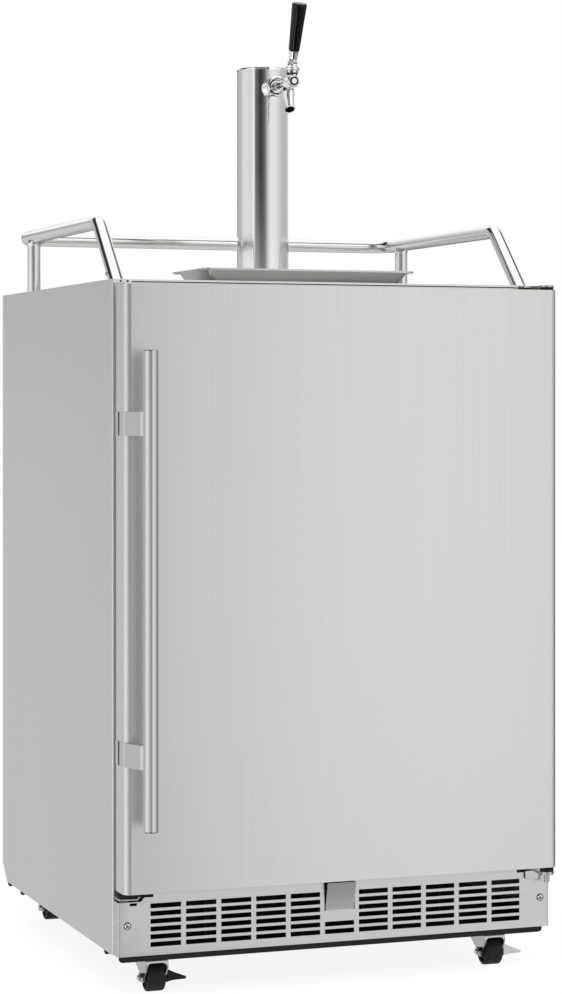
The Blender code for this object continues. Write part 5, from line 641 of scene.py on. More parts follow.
def dress_case(sizes):
    """The case's panels, its feet and the dark joints in its front edges."""
    edge = sizes.sheet_edge
    from_node("left_side_panel", "case_side_left", "steel_upright", edge * 3, 3)
    from_node("right_side_panel", "case_side_right", "steel_upright", edge * 3, 3)
    from_node("top_panel", "case_top", "steel_level", edge)
    from_node("back_panel", "case_back", "black_paint", edge)
    from_node("rear_cover", "case_rear_cover", "black_paint")
    from_node("base_pan", "case_base_pan", "black_paint", edge)
    from_node("plinth_strip", "case_plinth", "black_paint", edge)
    from_node("foam_insulation", "case_foam", "foam")

    low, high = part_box("top_panel")
    front, top = low.y, high.z
    left, right = TOP_SEAM_SHADE
    strip("case_top_seam_shade", (left, front - 0.0002, top - 0.004), (right, front + 0.0004, top - 0.0026))
    # Two black dots on the top's front: painted shade of two small holes there.
    hole_shade = [(0, front + 0.0004), (0.0014, front + 0.0004), (0.0014, front - 0.0004), (0, front - 0.0006)]
    for index, x in enumerate(TOP_HOLE_SHADES):
        piece = turned_piece("case_top_hole_shade_%d" % (index + 1), hole_shade, "Y", (x, 0, top - 0.0028), 24)
        dress(piece, "gasket")

    low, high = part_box("kick_grille")
    left, front, top = low.x, low.y, high.z
    # A black strip in the notch under the door's corner: painted shade of the gap there.
    strip(
        "case_kick_gap_shade", (left + 0.0012, front + 0.0125, top - 0.008),
        (-0.25, front + 0.029, top + 0.0024),
    )
    bm = bmesh.new()
    lip = Tube(bm, (left + 0.0014, front + 0.025, top - 0.005), (0, -1, -0.12), 0.0012, 12)
    lip.run(0.01).bend((1, 0, -0.03), 0.0046, 8)
    lip.run(0.0185).bend((0.64, 0, 0.77), 0.003, 4)
    lip.run(0.003).close()
    dress(add_object("case_kick_lip", bm, drawn=True), "steel_kick", angle=math.radians(50))

    foot = [(0, 0.057), (0.004, 0.057), (0.0038, 0.053), (0.003, 0.0508), (0.0018, 0.0497), (0, 0.0494)]
    for side, name in ((-1, "left"), (1, "right")):
        for index, y in enumerate(BUMPER_ROWS):
            place = (side * BUMPER_ASIDE, y, 0)
            dress(turned_piece("case_bumper_%s_%d" % (name, index + 1), foot, "Z", place, 32), "gasket")


def dress_grille(sizes):
    """The slotted kick plate, whose plain screw domes give way to screws with crossed heads."""
    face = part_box("kick_grille")[0].y + KICK_FACE
    aside, up = KICK_SCREW
    bm = merged("kick_grille")
    for side in (-1, 1):
        proud = [vert for vert in bm.verts if vert.co.y < face - 0.0001]
        dome = [v for v in proud if math.hypot(v.co.x - side * aside, v.co.z - up) < KICK_DOME]
        bmesh.ops.delete(bm, geom=dome, context="VERTS")
        fill_holes(bm)
    flatten(bm)
    dress(add_object("kick_plate", bm), "steel_kick", nodes=["kick_grille"], edge=0.0002)
    ring = [(0, face + 0.0004), (0.005, face + 0.0004), (0.005, face - 0.0004), (0, face - 0.0004)]
    for side, name in ((-1, "kick_screw_left"), (1, "kick_screw_right")):
        screw_head(name, (side * aside, face, up), (0, -1, 0), 0.0042, 0.0024, "chrome")
        dress(turned_piece(name + "_seat", ring, "Y", (side * aside, 0, up), 32), "gasket")
    strip("kick_clip", (0.2225, face - 0.0006, 0.129), (0.2285, face + 0.0012, 0.1322), "white_plastic")


def dress_door(sizes):
    """The door's skin, liner and seal, the turned bar and the two brackets that carry it."""
    from_node("door_skin", "door_front", "steel_upright", sizes.sheet_edge)
    from_node("door_liner", "door_inner", "white_plastic", 0.0012, 3)
    from_node("door_gasket", "door_seal", "gasket", 0.0003)
    low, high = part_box("handle_bar")
    radius = (high.x - low.x) / 2
    middle = (low + high) / 2
    profile = [
        (0, low.z), (radius - 0.0012, low.z), (radius - 0.0004, low.z + 0.0003), (radius, low.z + 0.0012),
        (radius, low.z + 0.002), (radius, high.z - 0.002), (radius, high.z - 0.0012),
        (radius - 0.0004, high.z - 0.0003), (radius - 0.0012, high.z), (0, high.z),
    ]
    bar = turned_piece("door_handle_bar", profile, "Z", (middle.x, middle.y, 0), 64)
    dress(bar, "steel_bar", "door", ["handle_bar"])
    for name in ("upper", "lower"):
        node = name + "_handle_bracket"
        low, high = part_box(node)
        centre = (low + high) / 2
        tall = high.z - low.z
        strip_y = low.y + 0.0564
        bm = merged(node)
        bmesh.ops.bisect_plane(
            bm, geom=bm.verts[:] + bm.edges[:] + bm.faces[:], dist=MERGE, clear_outer=True,
            plane_co=(low.x + 0.01292, low.y + 0.00594, 0), plane_no=(-0.725, -0.688, 0),
        )
        fill_holes(bm)
        flatten(bm)
        bmesh.ops.recalc_face_normals(bm, faces=bm.faces)
        bracket = add_object("handle_bracket_" + name, bm)
        carve_block(bracket, (0.0016, 0.0062, tall + 0.002), (low.x, strip_y, centre.z))
        dress(bracket, "steel_blasted", "door", [node], 0.0003, math.radians(8))
        # The black strip in the groove is painted shade: it stands for the dark line that the groove's
        # shadow makes by the door's edge.
        bm = bmesh.new()
        block(bm, (0.0006, 0.0058, tall - 0.0006), (low.x + 0.0005, strip_y, centre.z))
        dress(add_object("handle_strip_" + name, bm), "gasket", "door", edge=0.0001)


def dress_hinges(sizes):
    """The two hinge plates and their bushings."""
    for name in ("lower", "upper"):
        from_node(name + "_hinge", "hinge_" + name, "zinc", 0.0003)
    for name in ("lower", "upper"):
        from_node(name + "_bushing", "hinge_bushing_" + name, "black_plastic", 0.0002)


def dress_rail(sizes):
    """The bent rail, cut level at its front feet, its two posts and its set screws."""
    low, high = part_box("guard_rail")
    top = high.z - RAIL_RADIUS
    back = high.y - RAIL_RADIUS
    bend = sizes.rail_bend
    corner = sizes.rail_corner
    cut_back = bend * math.tan(math.pi / 8)
    slope = Vector((0, 1, 1)).normalized()
    start = Vector((-RAIL_ASIDE, RAIL_SHOULDER - (top - low.z), low.z)) - slope * RAIL_RADIUS * 1.5
    leg = (Vector((-RAIL_ASIDE, RAIL_SHOULDER, top)) - start).length - cut_back
    arm = back - RAIL_SHOULDER - cut_back - corner
    bm = bmesh.new()
    rail = Tube(bm, start, slope, RAIL_RADIUS, sizes.tube_sides)
    rail.run(leg).bend((0, 1, 0), bend, 10)
    rail.run(arm).bend((1, 0, 0), corner, 16)
    rail.run((RAIL_ASIDE - corner) * 2).bend((0, -1, 0), corner, 16)
    rail.run(arm).bend((0, -1, -1), bend, 10)
    rail.run(leg).close()
    piece = add_object("rail_tube", bm, drawn=True)
    carve_block(piece, (0.7, 0.7, 0.1), (0, 0, low.z - 0.05))
    dress(piece, "tube_rail", nodes=["guard_rail"])
    foot = [
        (0, low.z), (0.0093, low.z), (0.0093, top - 0.014), (0.0093, top - 0.012), (0.0095, top - 0.0094),
        (0.0105, top - 0.007), (0.008, top - 0.004), (0, top - 0.004),
    ]
    for side, name in ((-1, "left"), (1, "right")):
        place = (side * RAIL_ASIDE, RAIL_POST, 0)
        dress(turned_piece("rail_post_" + name, foot, "Z", place, sizes.tube_sides), "tube_rail")
        screw_head(
            "rail_screw_" + name, (side * (RAIL_ASIDE + RAIL_RADIUS - 0.0006), *RAIL_SCREW), (side, 0, 0),
            0.0031, 0.0024, "zinc", hexagonal=True,
        )


def dress_tower(sizes):
    """The polished column, the lid in its top, and the foot with four screws."""
    low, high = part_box("tower_column")
    radius = (high.x - low.x) / 2
    y = (low.y + high.y) / 2
    wall = 0.0015
    tube = [(radius - wall, low.z), (radius, low.z), (radius, high.z), (radius - wall, high.z)]
    column = turned_piece("tower_tube", tube, "Z", (0, y, 0), 128)
    dress(column, "tube_upright", nodes=["tower_column"])

    low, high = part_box("tower_cap")
    rim = (high.x - low.x) / 2
    seat = high.z - 0.0035
    cap = [
        (0, seat), (radius - 0.0048, seat), (radius - 0.0048, low.z), (radius - 0.0018, low.z),
        (radius - 0.0018, seat), (rim, seat), (rim, high.z - 0.0011), (rim - 0.0003, high.z - 0.0004),
        (rim - 0.0011, high.z), (rim - 0.0032, high.z), (rim - 0.004, high.z - 0.0005),
        (0, high.z - 0.0005),
    ]
    dress(turned_piece("tower_lid", cap, "Z", (0, y, 0), 128), "chrome", nodes=["tower_cap"])

    low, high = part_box("tower_flange")
    edge = (high.x - low.x) / 2
    top = low.z + 0.004
    spigot = radius - wall - 0.0003
    flange = [
        (0.022, low.z), (edge, low.z), (edge, top - 0.0014), (edge - 0.0004, top - 0.0004),
        (edge - 0.0014, top), (spigot, top), (spigot, high.z - 0.0024), (spigot - 0.0025, high.z - 0.0024),
        (spigot - 0.0025, top), (0.022, top),
    ]
    dress(turned_piece("tower_foot", flange, "Z", (0, y, 0), 128), "tube_rail", nodes=["tower_flange"])
    ring = (edge + radius) / 2
    for index in range(4):
        turn = math.pi / 4 + index * math.pi / 2
        screw_head(
            "tower_screw_%d" % (index + 1), (ring * math.cos(turn), y + ring * math.sin(turn), top),
            (0, 0, 1), 0.004, 0.002, "zinc",
        )


def placed(bm, verts, direction, place):
    """Turn what stands on the Z axis to a direction, and move it to its place."""
    turn = AXES["Z"].rotation_difference(Vector(direction)).to_matrix()
    bmesh.ops.rotate(bm, verts=verts, cent=(0, 0, 0), matrix=turn)
    bmesh.ops.translate(bm, verts=verts, vec=place)


def dress_faucet(sizes):
    """The shank's collar, the dished coupling ring, the cast body, its bonnet, spout and button."""
    from_node("shank", "faucet_shank", "chrome", 0.0003)
    low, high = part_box("coupling_nut")
    z = (low.z + high.z) / 2
    reach = (high.z - low.z) / 2
    front = low.y
    rear = high.y
    ring = [
        (0.0095, rear), (reach - 0.0008, rear), (reach, rear - 0.0008), (reach, front + 0.0014),
        (reach - 0.0004, front + 0.0005), (reach - 0.0012, front), (reach - 0.002, front + 0.0002),
        (reach - 0.0024, front + 0.001), (0.0104, front + 0.0026), (0.0086, front + 0.0046),
        (0.0078, front + 0.006), (0.0078, rear - 0.0012), (0.0095, rear - 0.0012),
    ]
    dress(turned_piece("faucet_ring", ring, "Y", (0, 0, z), 96), "chrome", nodes=["coupling_nut"])
    washer = [
        (0.005, front + 0.005), (0.007, front + 0.005), (0.0074, front + 0.0062), (0.0074, rear - 0.0012),
        (0.005, rear - 0.0012),
    ]
    dress(turned_piece("faucet_washer", washer, "Y", (0, 0, z), 64), "gasket")

    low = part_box("faucet_body")[0]
    lever_y = low.y + LEVER_BACK
    face = low.y + 0.0018
    bm = bmesh.new()
    barrel = [
        (0, -0.0185), (0.0054, -0.0185), (0.0054, -0.03), (0.0058, -0.042), (0.0066, -0.054),
        (0.008, -0.062), (0.0086, -0.07), (0.0086, face + 0.0026), (0.008, face + 0.0009), (0.0066, face),
        (0, face),
    ]
    turned(bm, barrel, "Y", (0, 0, z), 64)
    neck = [
        (0, z - 0.004), (0.0074, z - 0.004), (0.0078, z + 0.004), (0.0078, z + 0.008), (0.0072, z + 0.01),
        (0.007, LEVER_HEIGHT - 0.0088), (0, LEVER_HEIGHT - 0.0088),
    ]
    turned(bm, neck, "Z", (0, lever_y, 0), 48)
    lean = math.radians(13)
    tilt = math.radians(35)
    mouth = Vector((0, lever_y + 0.0094, low.z + 0.0022))
    upward = Vector((0, math.sin(lean), math.cos(lean)))
    outlet = Vector((0, -math.sin(tilt), -math.cos(tilt)))
    spout = [
        (0, -0.006), (0.007, -0.006), (0.007, 0.009), (0.0074, 0.014), (0.0084, 0.02), (0.0088, 0.025),
        (0.0078, 0.03), (0.005, 0.0335), (0, 0.0345),
    ]
    placed(bm, turned(bm, spout, "Z", (0, 0, 0), 48), upward, mouth)
    cast = add_object("faucet_casting", bm, drawn=True)
    melt = cast.modifiers.new("melt", "REMESH")
    melt.mode = "VOXEL"
    melt.voxel_size = 0.0004
    relax = cast.modifiers.new("relax", "SMOOTH")
    relax.factor = 0.5
    relax.iterations = 8
    apply_modifiers(cast)
    bm = bmesh.new()
    beyond = bmesh.ops.create_cube(bm, size=0.03, matrix=Matrix.Translation((0, 0, 0.015)))["verts"]
    placed(bm, beyond, outlet, mouth)
    carve(cast, bm)
    bm = bmesh.new()
    bore = bmesh.ops.create_cone(
        bm, cap_ends=True, segments=48, radius1=0.0062, radius2=0.0062, depth=0.024,
    )["verts"]
    placed(bm, bore, upward, mouth)
    carve(cast, bm)
    dress(cast, "chrome", nodes=["faucet_body"], angle=math.radians(50))
    lip = [
        (0.0063, -0.001), (0.0063, 0.0002), (0.0066, 0.0006), (0.0072, 0.0006), (0.0075, 0.0002),
        (0.0075, -0.0007), (0.0071, -0.0012),
    ]
    # The seat is a near-black disc just inside the spout's mouth: painted shade, where the bore goes dark.
    seat = [(0, -0.0006), (0.0063, -0.0006), (0.0063, -0.0016), (0.005, -0.0024), (0, -0.0024)]
    for name, profile, steps, finish in (("mouth", lip, 64, "chrome"), ("seat", seat, 48, "void")):
        bm = bmesh.new()
        placed(bm, turned(bm, profile, "Z", (0, 0, 0), steps), outlet, mouth)
        dress(add_object("faucet_" + name, bm, drawn=True), finish)

    rim = LEVER_HEIGHT - 0.002
    bonnet = [
        (0.006, rim - 0.0076), (0.0084, rim - 0.0076), (0.009, rim - 0.007), (0.009, rim - 0.0044),
        (0.0096, rim - 0.0041), (0.0101, rim - 0.0034), (0.0101, rim - 0.001), (0.0098, rim - 0.0002),
        (0.0095, rim), (0.0093, rim - 0.0006), (0.0088, rim - 0.003), (0.0074, rim - 0.0054),
        (0.006, rim - 0.0062),
    ]
    cap = turned_piece("faucet_bonnet", bonnet, "Z", (0, lever_y, 0), 96)
    bm = bmesh.new()
    for index in range(8):
        spin = Matrix.Rotation(math.radians(22 + index * 45), 3, "Z")
        made = block(bm, (0.0026, 0.0034, 0.0024), (0, -0.0094, 0))
        bmesh.ops.rotate(bm, verts=made, cent=(0, 0, 0), matrix=spin)
        bmesh.ops.translate(bm, verts=made, vec=(0, lever_y, rim - 0.006))
    carve(cap, bm)
    dress(cap, "chrome", angle=math.radians(40))
    band = [
        (0.006, rim - 0.0094), (0.0076, rim - 0.0094), (0.0079, rim - 0.009), (0.0079, rim - 0.008),
        (0.0076, rim - 0.0076), (0.006, rim - 0.0076),
    ]
    dress(turned_piece("faucet_band", band, "Z", (0, lever_y, 0), 64), "gasket")

    seal = [
        (0.0038, low.y + 0.0022), (0.0058, low.y + 0.0022), (0.006, low.y + 0.0012),
        (0.0056, low.y + 0.0007), (0.0038, low.y + 0.0007),
    ]
    dress(turned_piece("faucet_button_seal", seal, "Y", (0, 0, z), 48), "void")
    button = [
        (0, low.y + 0.003), (0.0038, low.y + 0.003), (0.0038, low.y + 0.0005), (0.0034, low.y + 0.0001),
        (0, low.y),
    ]
    dress(turned_piece("faucet_button", button, "Y", (0, 0, z), 48), "chrome")


def lean_forward(piece, pivot):
    """Lean a piece of the lever that stands on the ball's centre, and move it there."""
    lean = Matrix.Rotation(LEVER_LEAN, 4, "X")
    piece.data.transform(Matrix.Translation(pivot) @ lean)
    return piece


def dress_lever(sizes):
    """The lever's ball, its six-sided collar, the ferrule and the fluted handle."""
    pivot = Vector((0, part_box("faucet_body")[0].y + LEVER_BACK, LEVER_HEIGHT))
    ball = []
    for step in range(17):
        turn = math.pi - (math.pi - math.asin(0.0035 / 0.007)) * step / 16
        ball.append((0.007 * math.sin(turn), 0.007 * math.cos(turn)))
    ball[0] = (0, -0.007)
    stem = [(0.0035, 0.026), (0, 0.026)]
    lever = turned_piece("tap_ball", ball + stem, "Z", (0, 0, 0), 64)
    lean_forward(lever, pivot)
    dress(lever, "chrome", "tap", ["tap_lever"])
    bm = bmesh.new()
    ring = bmesh.ops.create_circle(
        bm, cap_ends=True, segments=6, radius=0.0044,
        matrix=Matrix.Translation((0, 0, 0.0022)) @ Matrix.Rotation(math.radians(-12), 4, "Z"),
    )["verts"]
    for rise, growth in ((0.0024, 1.55), (0.0016, 1.25), (0.0006, 1.06), (0.001, 1.0)):
        ring = grown(bm, ring)
        bmesh.ops.scale(bm, verts=ring, vec=(growth, growth, 1.0))
        bmesh.ops.translate(bm, verts=ring, vec=(0, 0, rise))
    bmesh.ops.contextual_create(bm, geom=ring)
    bmesh.ops.recalc_face_normals(bm, faces=bm.faces)
    collar = lean_forward(add_object("tap_collar", bm, drawn=True), pivot)
    dress(collar, "chrome", "tap", edge=0.001, segments=4, angle=math.radians(25))
    ferrule = [
        (0.0036, 0.0079), (0.0051, 0.0079), (0.0054, 0.0084), (0.0055, 0.0115), (0.0067, 0.02),
        (0.0067, 0.0208), (0.0036, 0.0208),
    ]
    cone = lean_forward(turned_piece("tap_ferrule", ferrule, "Z", (0, 0, 0), 64), pivot)
    dress(cone, "chrome", "tap")

    base = 0.0213
    length = 0.0649
    flutes = 12
    points = 8
    stations = (
        (0.0, 0.0066, 0.2), (0.012, 0.0073, 0.5), (0.04, 0.00755, 1.0), (0.3, 0.0083, 1.0),
        (0.6, 0.0091, 1.0), (0.9, 0.01, 1.0), (0.975, 0.0102, 0.6), (0.993, 0.0101, 0.2),
        (1.0, 0.0096, 0.0),
    )
    bm = bmesh.new()
    ring = bmesh.ops.create_circle(bm, cap_ends=True, radius=1.0, segments=flutes * points)["verts"]
    for index, (along, radius, cut) in enumerate(stations):
        if index:
            ring = grown(bm, ring)
        for vert in ring:
            turn = math.atan2(vert.co.y, vert.co.x)
            flute = 0.00005 * cut * (0.5 - 0.5 * math.cos(turn * flutes)) ** 0.6
            reach = radius - flute
            vert.co = Vector((reach * math.cos(turn), reach * math.sin(turn), base + along * length))
    bmesh.ops.contextual_create(bm, geom=ring)
    bmesh.ops.recalc_face_normals(bm, faces=bm.faces)
    handle = lean_forward(add_object("tap_grip", bm, drawn=True), pivot)
    dress(handle, "black_gloss", "tap", ["tap_handle"], angle=math.radians(50))


def dress_tray(sizes):
    """The drip tray and its screen."""
    from_node("drip_tray", "drip_pan", "steel_tray", 0.0003)
    from_node("drip_grate", "drip_screen", "steel_tray", 0.0002)


def dress_casters(sizes):
    """The four casters: mounts, forks, wheels and axles, and the two brake pedals."""
    for corner in CORNERS:
        from_node(corner + "_plate", corner + "_mount", "zinc", 0.0003)
        from_node(corner + "_fork", corner + "_hood", "zinc", 0.0004, 3)
        dress_wheel(corner)
        dress_axle(corner)
    from_node("front_left_brake", "front_left_pedal", "black_plastic", 0.0007, 3)
    from_node("front_right_brake", "front_right_pedal", "zinc", 0.0007, 3)


def dress_wheel(corner):
    """A wheel with a dished face round its hub."""
    low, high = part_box(corner + "_wheel")
    middle = (low + high) / 2
    radius = (high.z - low.z) / 2
    half = (high.x - low.x) / 2
    side = [
        (0.0033, half), (0.0058, half), (0.0065, half - 0.0005), (0.0075, half - 0.0022),
        (0.012, half - 0.0026), (0.0132, half - 0.0012), (0.0142, half - 0.0002), (radius - 0.0022, half),
        (radius - 0.0009, half - 0.0004), (radius - 0.0003, half - 0.001), (radius, half - 0.002),
        (radius, 0.0008), (radius - 0.0002, 0.0),
    ]
    profile = side + [(reach, -along) for reach, along in reversed(side[:-1])]
    wheel = turned_piece(corner + "_tyre", profile, "X", tuple(middle), 72)
    dress(wheel, "tyre", body_of(corner + "_wheel"), [corner + "_wheel"])


def dress_axle(corner):
    """The axle bolt, with a six-sided head on one side and a nut on the other."""
    node = corner + "_axle"
    low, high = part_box(node)
    middle = (low + high) / 2
    rod = [
        (0, low.x), (0.0022, low.x), (0.0029, low.x + 0.0008), (0.0029, high.x - 0.0008), (0.0022, high.x),
        (0, high.x),
    ]
    bolt = turned_piece(corner + "_bolt", rod, "X", (0, middle.y, middle.z), 32)
    dress(bolt, "zinc", body_of(node), [node])
    fork_low, fork_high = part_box(corner + "_fork")
    ends = (("head", fork_low.x - 0.0003, -1), ("nut", fork_high.x + 0.0003, 1))
    for name, x, way in ends:
        if name == "nut" and corner.startswith("front"):
            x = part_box(corner + "_brake")[0].x + 0.0033
        depth = 0.0042
        place = Matrix.Translation((x + way * depth / 2, middle.y, middle.z))
        bm = hexagon(0.006, depth, place @ Matrix.Rotation(math.pi / 2, 4, "Y"))
        dress(add_object(corner + "_" + name, bm), "zinc", body_of(node), edge=0.0005, segments=3)


def dress_inside(sizes):
    """The cold space and what is fixed in it."""
    from_node("inner_liner", "cold_space_liner", "white_plastic", 0.0008, 3)
    from_node("keg_plate", "keg_floor_plate", "steel_level", 0.0003)
    from_node("evaporator_cover", "cooling_cover", "white_plastic", 0.0008)
    from_node("control_housing", "control_box", "white_plastic", 0.0006)
    from_node("light_lens", "lamp_lens", "lens", 0.001, 3)
    from_node("thermostat_knob", "cold_knob", "black_plastic", 0.0005, 3)
    from_node("gas_port_plug", "gas_hole_plug", "gasket", 0.0004)


def dress_machine(sizes):
    """The cooling machine behind the rear cover."""
    from_node("compressor", "compressor_shell", "black_paint", 0.0006)
    from_node("condenser", "condenser_coil", "black_paint")
    from_node("fan_shroud", "fan_frame", "black_plastic", 0.0003)
    from_node("condenser_fan", "fan_rotor", "black_plastic", 0.0002)
    from_node("power_inlet", "power_socket", "black_plastic", 0.0002)


# Studio

CAMERA_PLACE = (-1.23773, -3.440825, 0.754635)
CAMERA_YAW = 19.968
HORIZON_SHIFT = -0.0959
SENSOR_WIDTH = 36.0
LAMP_SIZE = 1.6
LAMP_TARGET = Vector((0, 0, 0.6))

# How bright the studio is where polished steel mirrors it. A stop is an angle in degrees, from the way
# to the camera round to the right, and the brightness there. LEVELS gives each list the band of rises
# over the horizon that it holds for, REACH how high the side boxes stand, CEILING the rise above which
# the soft box overhead shows, and GROUND the one below which the floor does.
LEVEL_SPARK = ((-180, 0.0), (-45, 0.0), (-42, 9.0), (-37, 9.0), (-34, 0.0), (180, 0.0))
LEVEL_DOWN = (
    (-180, 0.5), (-150, 0.62), (-120, 0.6), (-104, 0.4), (-90, 0.1), (-60, 0.05), (-33, 0.05), (20, 0.05),
    (32, 0.1), (42, 0.5), (52, 0.5), (62, 0.1), (80, 0.3), (110, 0.6), (180, 0.5),
)
LEVEL_LOW = (
    (-180, 0.2), (-160, 0.56), (-142, 0.76), (-126, 0.7), (-112, 0.62), (-97, 0.76), (-78, 1.12),
    (-62, 1.24), (-44, 1.1), (-26, 0.92), (-12, 0.72), (-4, 0.48), (5, 0.42), (14, 0.52), (24, 0.82),
    (34, 1.06), (46, 1.1), (62, 1.0), (78, 0.8), (98, 0.4), (114, 0.22), (130, 0.18), (180, 0.2),
)
LEVEL_HIGH = (
    (-180, 0.05), (-163, 0.05), (-146, 0.53), (-122, 0.54), (-108, 0.62), (-98, 0.84), (-64, 0.78),
    (-54, 0.7), (-47, 0.9), (-42, 1.0), (-37, 0.62), (-33, 0.1), (-22, 0.12), (-16, 0.02), (-9, 0.01),
    (-3, 0.05), (6, 0.11), (12, 0.22), (16, 0.37), (21, 0.54), (30, 0.8), (40, 0.9), (55, 0.88), (66, 0.8),
    (85, 0.64), (98, 0.55), (130, 0.55), (146, 0.7), (158, 1.0), (180, 1.0),
)
LEVEL_TOP = (
    (-180, 1.1), (-150, 1.1), (-142, 0.76), (-126, 0.68), (-112, 0.56), (-97, 0.7), (-64, 0.85), (-42, 1.0),
    (-33, 0.3), (6, 0.24), (12, 0.3), (21, 0.6), (30, 1.0), (42, 1.35), (62, 1.25), (85, 0.8), (98, 0.5),
    (130, 0.55), (146, 0.9), (158, 1.1), (180, 1.1),
)
LEVELS = (
    (LEVEL_DOWN, -90, -21), (LEVEL_SPARK, -40, -27), (LEVEL_LOW, -21, 2.5), (LEVEL_HIGH, 2.5, 11),
    (LEVEL_TOP, 11, 95),
)
REACH = (
    (-180, 90), (-152, 90), (-142, 22), (-120, 18), (-92, 14), (-60, 30), (-30, 36), (60, 36), (90, 30),
    (130, 20), (146, 24), (156, 90), (180, 90),
)
CEILING = 50
GROUND = -52


def studio_world(studio):
    """White to the camera, plain to matt surfaces, and soft boxes with dark gaps to polished ones."""
    world = bpy.data.worlds.new("studio")
    bpy.context.scene.world = world
    world.use_nodes = True
    shader = Shader(world.node_tree)
    facing = Vector((-math.sin(math.radians(CAMERA_YAW)), -math.cos(math.radians(CAMERA_YAW)), 0))
    right = Vector((-facing.y, facing.x, 0))
    heading = shader.node("ShaderNodeTexCoord", output="Generated")

    def along(axis):
        settings = {"operation": "DOT_PRODUCT"}
        return shader.node("ShaderNodeVectorMath", settings, {0: heading, 1: axis}, "Value")

    def ramp(share, stops, scale):
        stops = [((angle + 180) / 360, value / scale) for angle, value in stops]
        return shader.node("ShaderNodeValToRGB", {"stops": stops}, {"Fac": share}) * scale

    def step(value, low, high):
        inputs = {"Value": value, "From Min": low, "From Max": high}
        return shader.node("ShaderNodeMapRange", {"interpolation_type": "SMOOTHSTEP"}, inputs)

    share = shader.sum("ARCTAN2", along(right), along(facing)) / math.tau + 0.5
    rise = shader.node("ShaderNodeMath", {"operation": "ARCSINE"}, {0: along((0, 0, 1))}) * math.degrees(1)
    level = 0.0
    for stops, low, high in LEVELS:
        band = step(rise, low - 1, low + 1) * step(rise, high + 1, high - 1)
        level = ramp(share, stops, 9.0) * band + level
    box = step(rise - ramp(share, REACH, 90.0), 4, -4)
    ceiling = step(rise, CEILING - 4, CEILING + 4)
    ground = step(rise, GROUND + 6, GROUND - 6)
    upper = shader.sum("MAXIMUM", level * box, ceiling * studio.ceiling)
    upper = shader.sum("MAXIMUM", upper, 0.03)
    mirrored = upper * (1 - ground) + ground * studio.ground
    path = shader.node("ShaderNodeLightPath").socket.node
    camera = Wire(shader, path.outputs["Is Camera Ray"])
    glossy = Wire(shader, path.outputs["Is Glossy Ray"])
    through = Wire(shader, path.outputs["Is Transmission Ray"])
    plain = glossy * mirrored + (1 - glossy) * studio.level
    clear = shader.sum("MAXIMUM", camera, through)
    strength = clear + (1 - clear) * plain
    background = world.node_tree.nodes["Background"]
    background.inputs["Color"].default_value = (1, 1, 1, 1)
    shader.feed(background.inputs["Strength"], strength)


def studio_floor(studio):
    """A pale floor: part of what the camera sees of it is plain white, and the rest takes the shadow."""
    bm = bmesh.new()
    bmesh.ops.create_grid(bm, x_segments=1, y_segments=1, size=9.0)
    floor = add_object("studio_floor", bm)
    made = Finish("studio_floor", Roughness=0.9, Specular_IOR_Level=0.0, Base_Color=tuple(studio.floor))
    white = {"Color": (1, 1, 1), "Strength": studio.floor_white}
    glow = made.node("ShaderNodeEmission", {}, white, "Emission")
    path = made.node("ShaderNodeLightPath").socket.node
    share = Wire(made, path.outputs["Is Camera Ray"]) * studio.glow
    matt = Wire(made, made.surface.outputs["BSDF"])
    both = made.node("ShaderNodeMixShader", {}, {0: share, 1: matt, 2: glow})
    made.feed(made.tree.nodes["Material Output"].inputs["Surface"], both)
    floor.data.materials.append(made.material)
    floor.visible_glossy = False


def studio_lamp(name, place, power):
    lamp = bpy.data.lights.new(name, "AREA")
    lamp.size = LAMP_SIZE
    lamp.energy = power
    made = link_object(name, lamp)
    made.location = place
    made.rotation_mode = "QUATERNION"
    made.rotation_quaternion = (LAMP_TARGET - Vector(place)).to_track_quat("-Z", "Y")
    made.visible_glossy = False


def set_stage(studio):
    studio_world(studio)
    studio_floor(studio)
    studio_lamp("key_lamp", (-1.6, -2.6, 2.6), studio.key)
    studio_lamp("fill_lamp", (2.6, -1.6, 2.2), studio.key * 0.5)
    camera = bpy.data.cameras.new("camera")
    camera.lens = studio.lens
    camera.sensor_width = SENSOR_WIDTH
    camera.shift_y = HORIZON_SHIFT
    made = link_object("camera", camera)
    made.location = CAMERA_PLACE
    made.rotation_euler = (math.pi / 2, 0, -math.radians(CAMERA_YAW))
    bpy.context.scene.camera = made
    bpy.context.scene.view_settings.view_transform = "Standard"


# Operators and panel


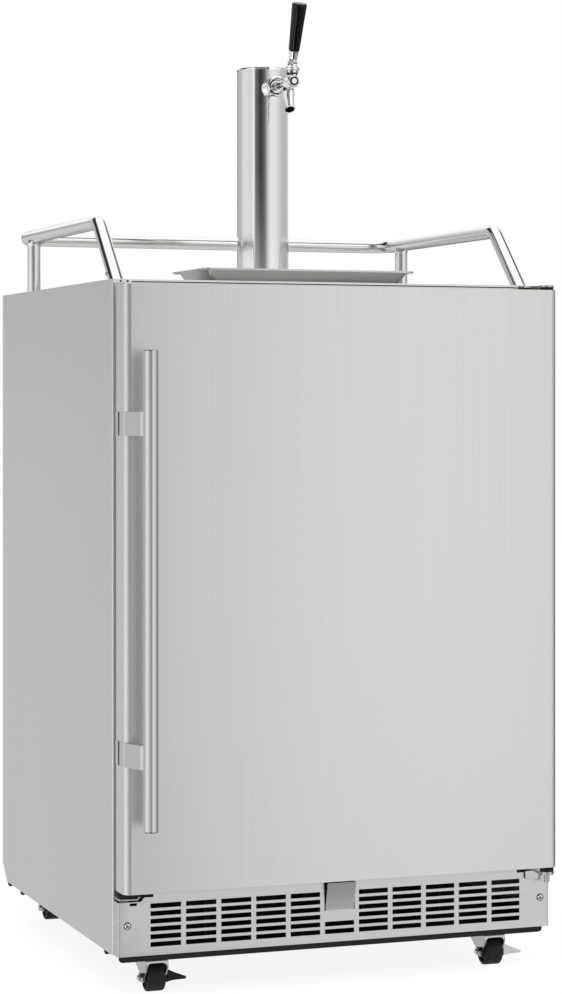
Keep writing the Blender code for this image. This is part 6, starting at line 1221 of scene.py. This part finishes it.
def piece_operator(label, build):
    """An operator class that makes one group of pieces, named and described as its function is."""
    name = build.__name__.removeprefix("dress_")

    def execute(self, context):
        build(context.scene.kegerator_sizes)
        return {"FINISHED"}

    return type("KEGERATOR_OT_" + name, (bpy.types.Operator,), {
        "__doc__": build.__doc__, "bl_idname": "kegerator." + name, "bl_label": label, "execute": execute,
    })


PIECE_OPERATORS = tuple(piece_operator(label, build) for label, build in (
    ("Case", dress_case), ("Kick grille", dress_grille), ("Door", dress_door), ("Hinges", dress_hinges),
    ("Guard rail", dress_rail), ("Tower", dress_tower), ("Faucet", dress_faucet),
    ("Tap lever", dress_lever), ("Drip tray", dress_tray), ("Casters", dress_casters),
    ("Cold space", dress_inside), ("Machine bay", dress_machine),
))


class KEGERATOR_OT_stage(bpy.types.Operator):
    """Set the floor, the world, the lamps and the camera"""

    bl_idname = "kegerator.stage"
    bl_label = "Studio"

    def execute(self, context):
        set_stage(context.scene.kegerator_studio)
        return {"FINISHED"}


class KEGERATOR_PT_looks(bpy.types.Panel):
    """Settings and steps of the kegerator's looks"""

    bl_label = "Kegerator"
    bl_space_type = "VIEW_3D"
    bl_region_type = "UI"
    bl_category = "Kegerator"

    def draw(self, context):
        for name, kind in SETTINGS.items():
            box = self.layout.box()
            for key in kind.__annotations__:
                box.prop(getattr(context.scene, name), key)
        for operator in (*PIECE_OPERATORS, KEGERATOR_OT_stage):
            self.layout.operator(operator.bl_idname)


SETTINGS = {
    "kegerator_steel": SteelLook, "kegerator_soft": SoftLook, "kegerator_sizes": FineSizes,
    "kegerator_studio": StudioLook,
}
CLASSES = (*SETTINGS.values(), *PIECE_OPERATORS, KEGERATOR_OT_stage, KEGERATOR_PT_looks)


def register():
    for item in CLASSES:
        bpy.utils.register_class(item)
    for name, group in SETTINGS.items():
        setattr(bpy.types.Scene, name, PointerProperty(type=group))


def unregister():
    for name in SETTINGS:
        delattr(bpy.types.Scene, name)
    for item in reversed(CLASSES):
        bpy.utils.unregister_class(item)


def main():
    register()
    for operator in PIECE_OPERATORS:
        getattr(bpy.ops.kegerator, operator.bl_idname.split(".")[1])()
    bpy.ops.kegerator.stage()


if __name__ == "__main__":
    main()
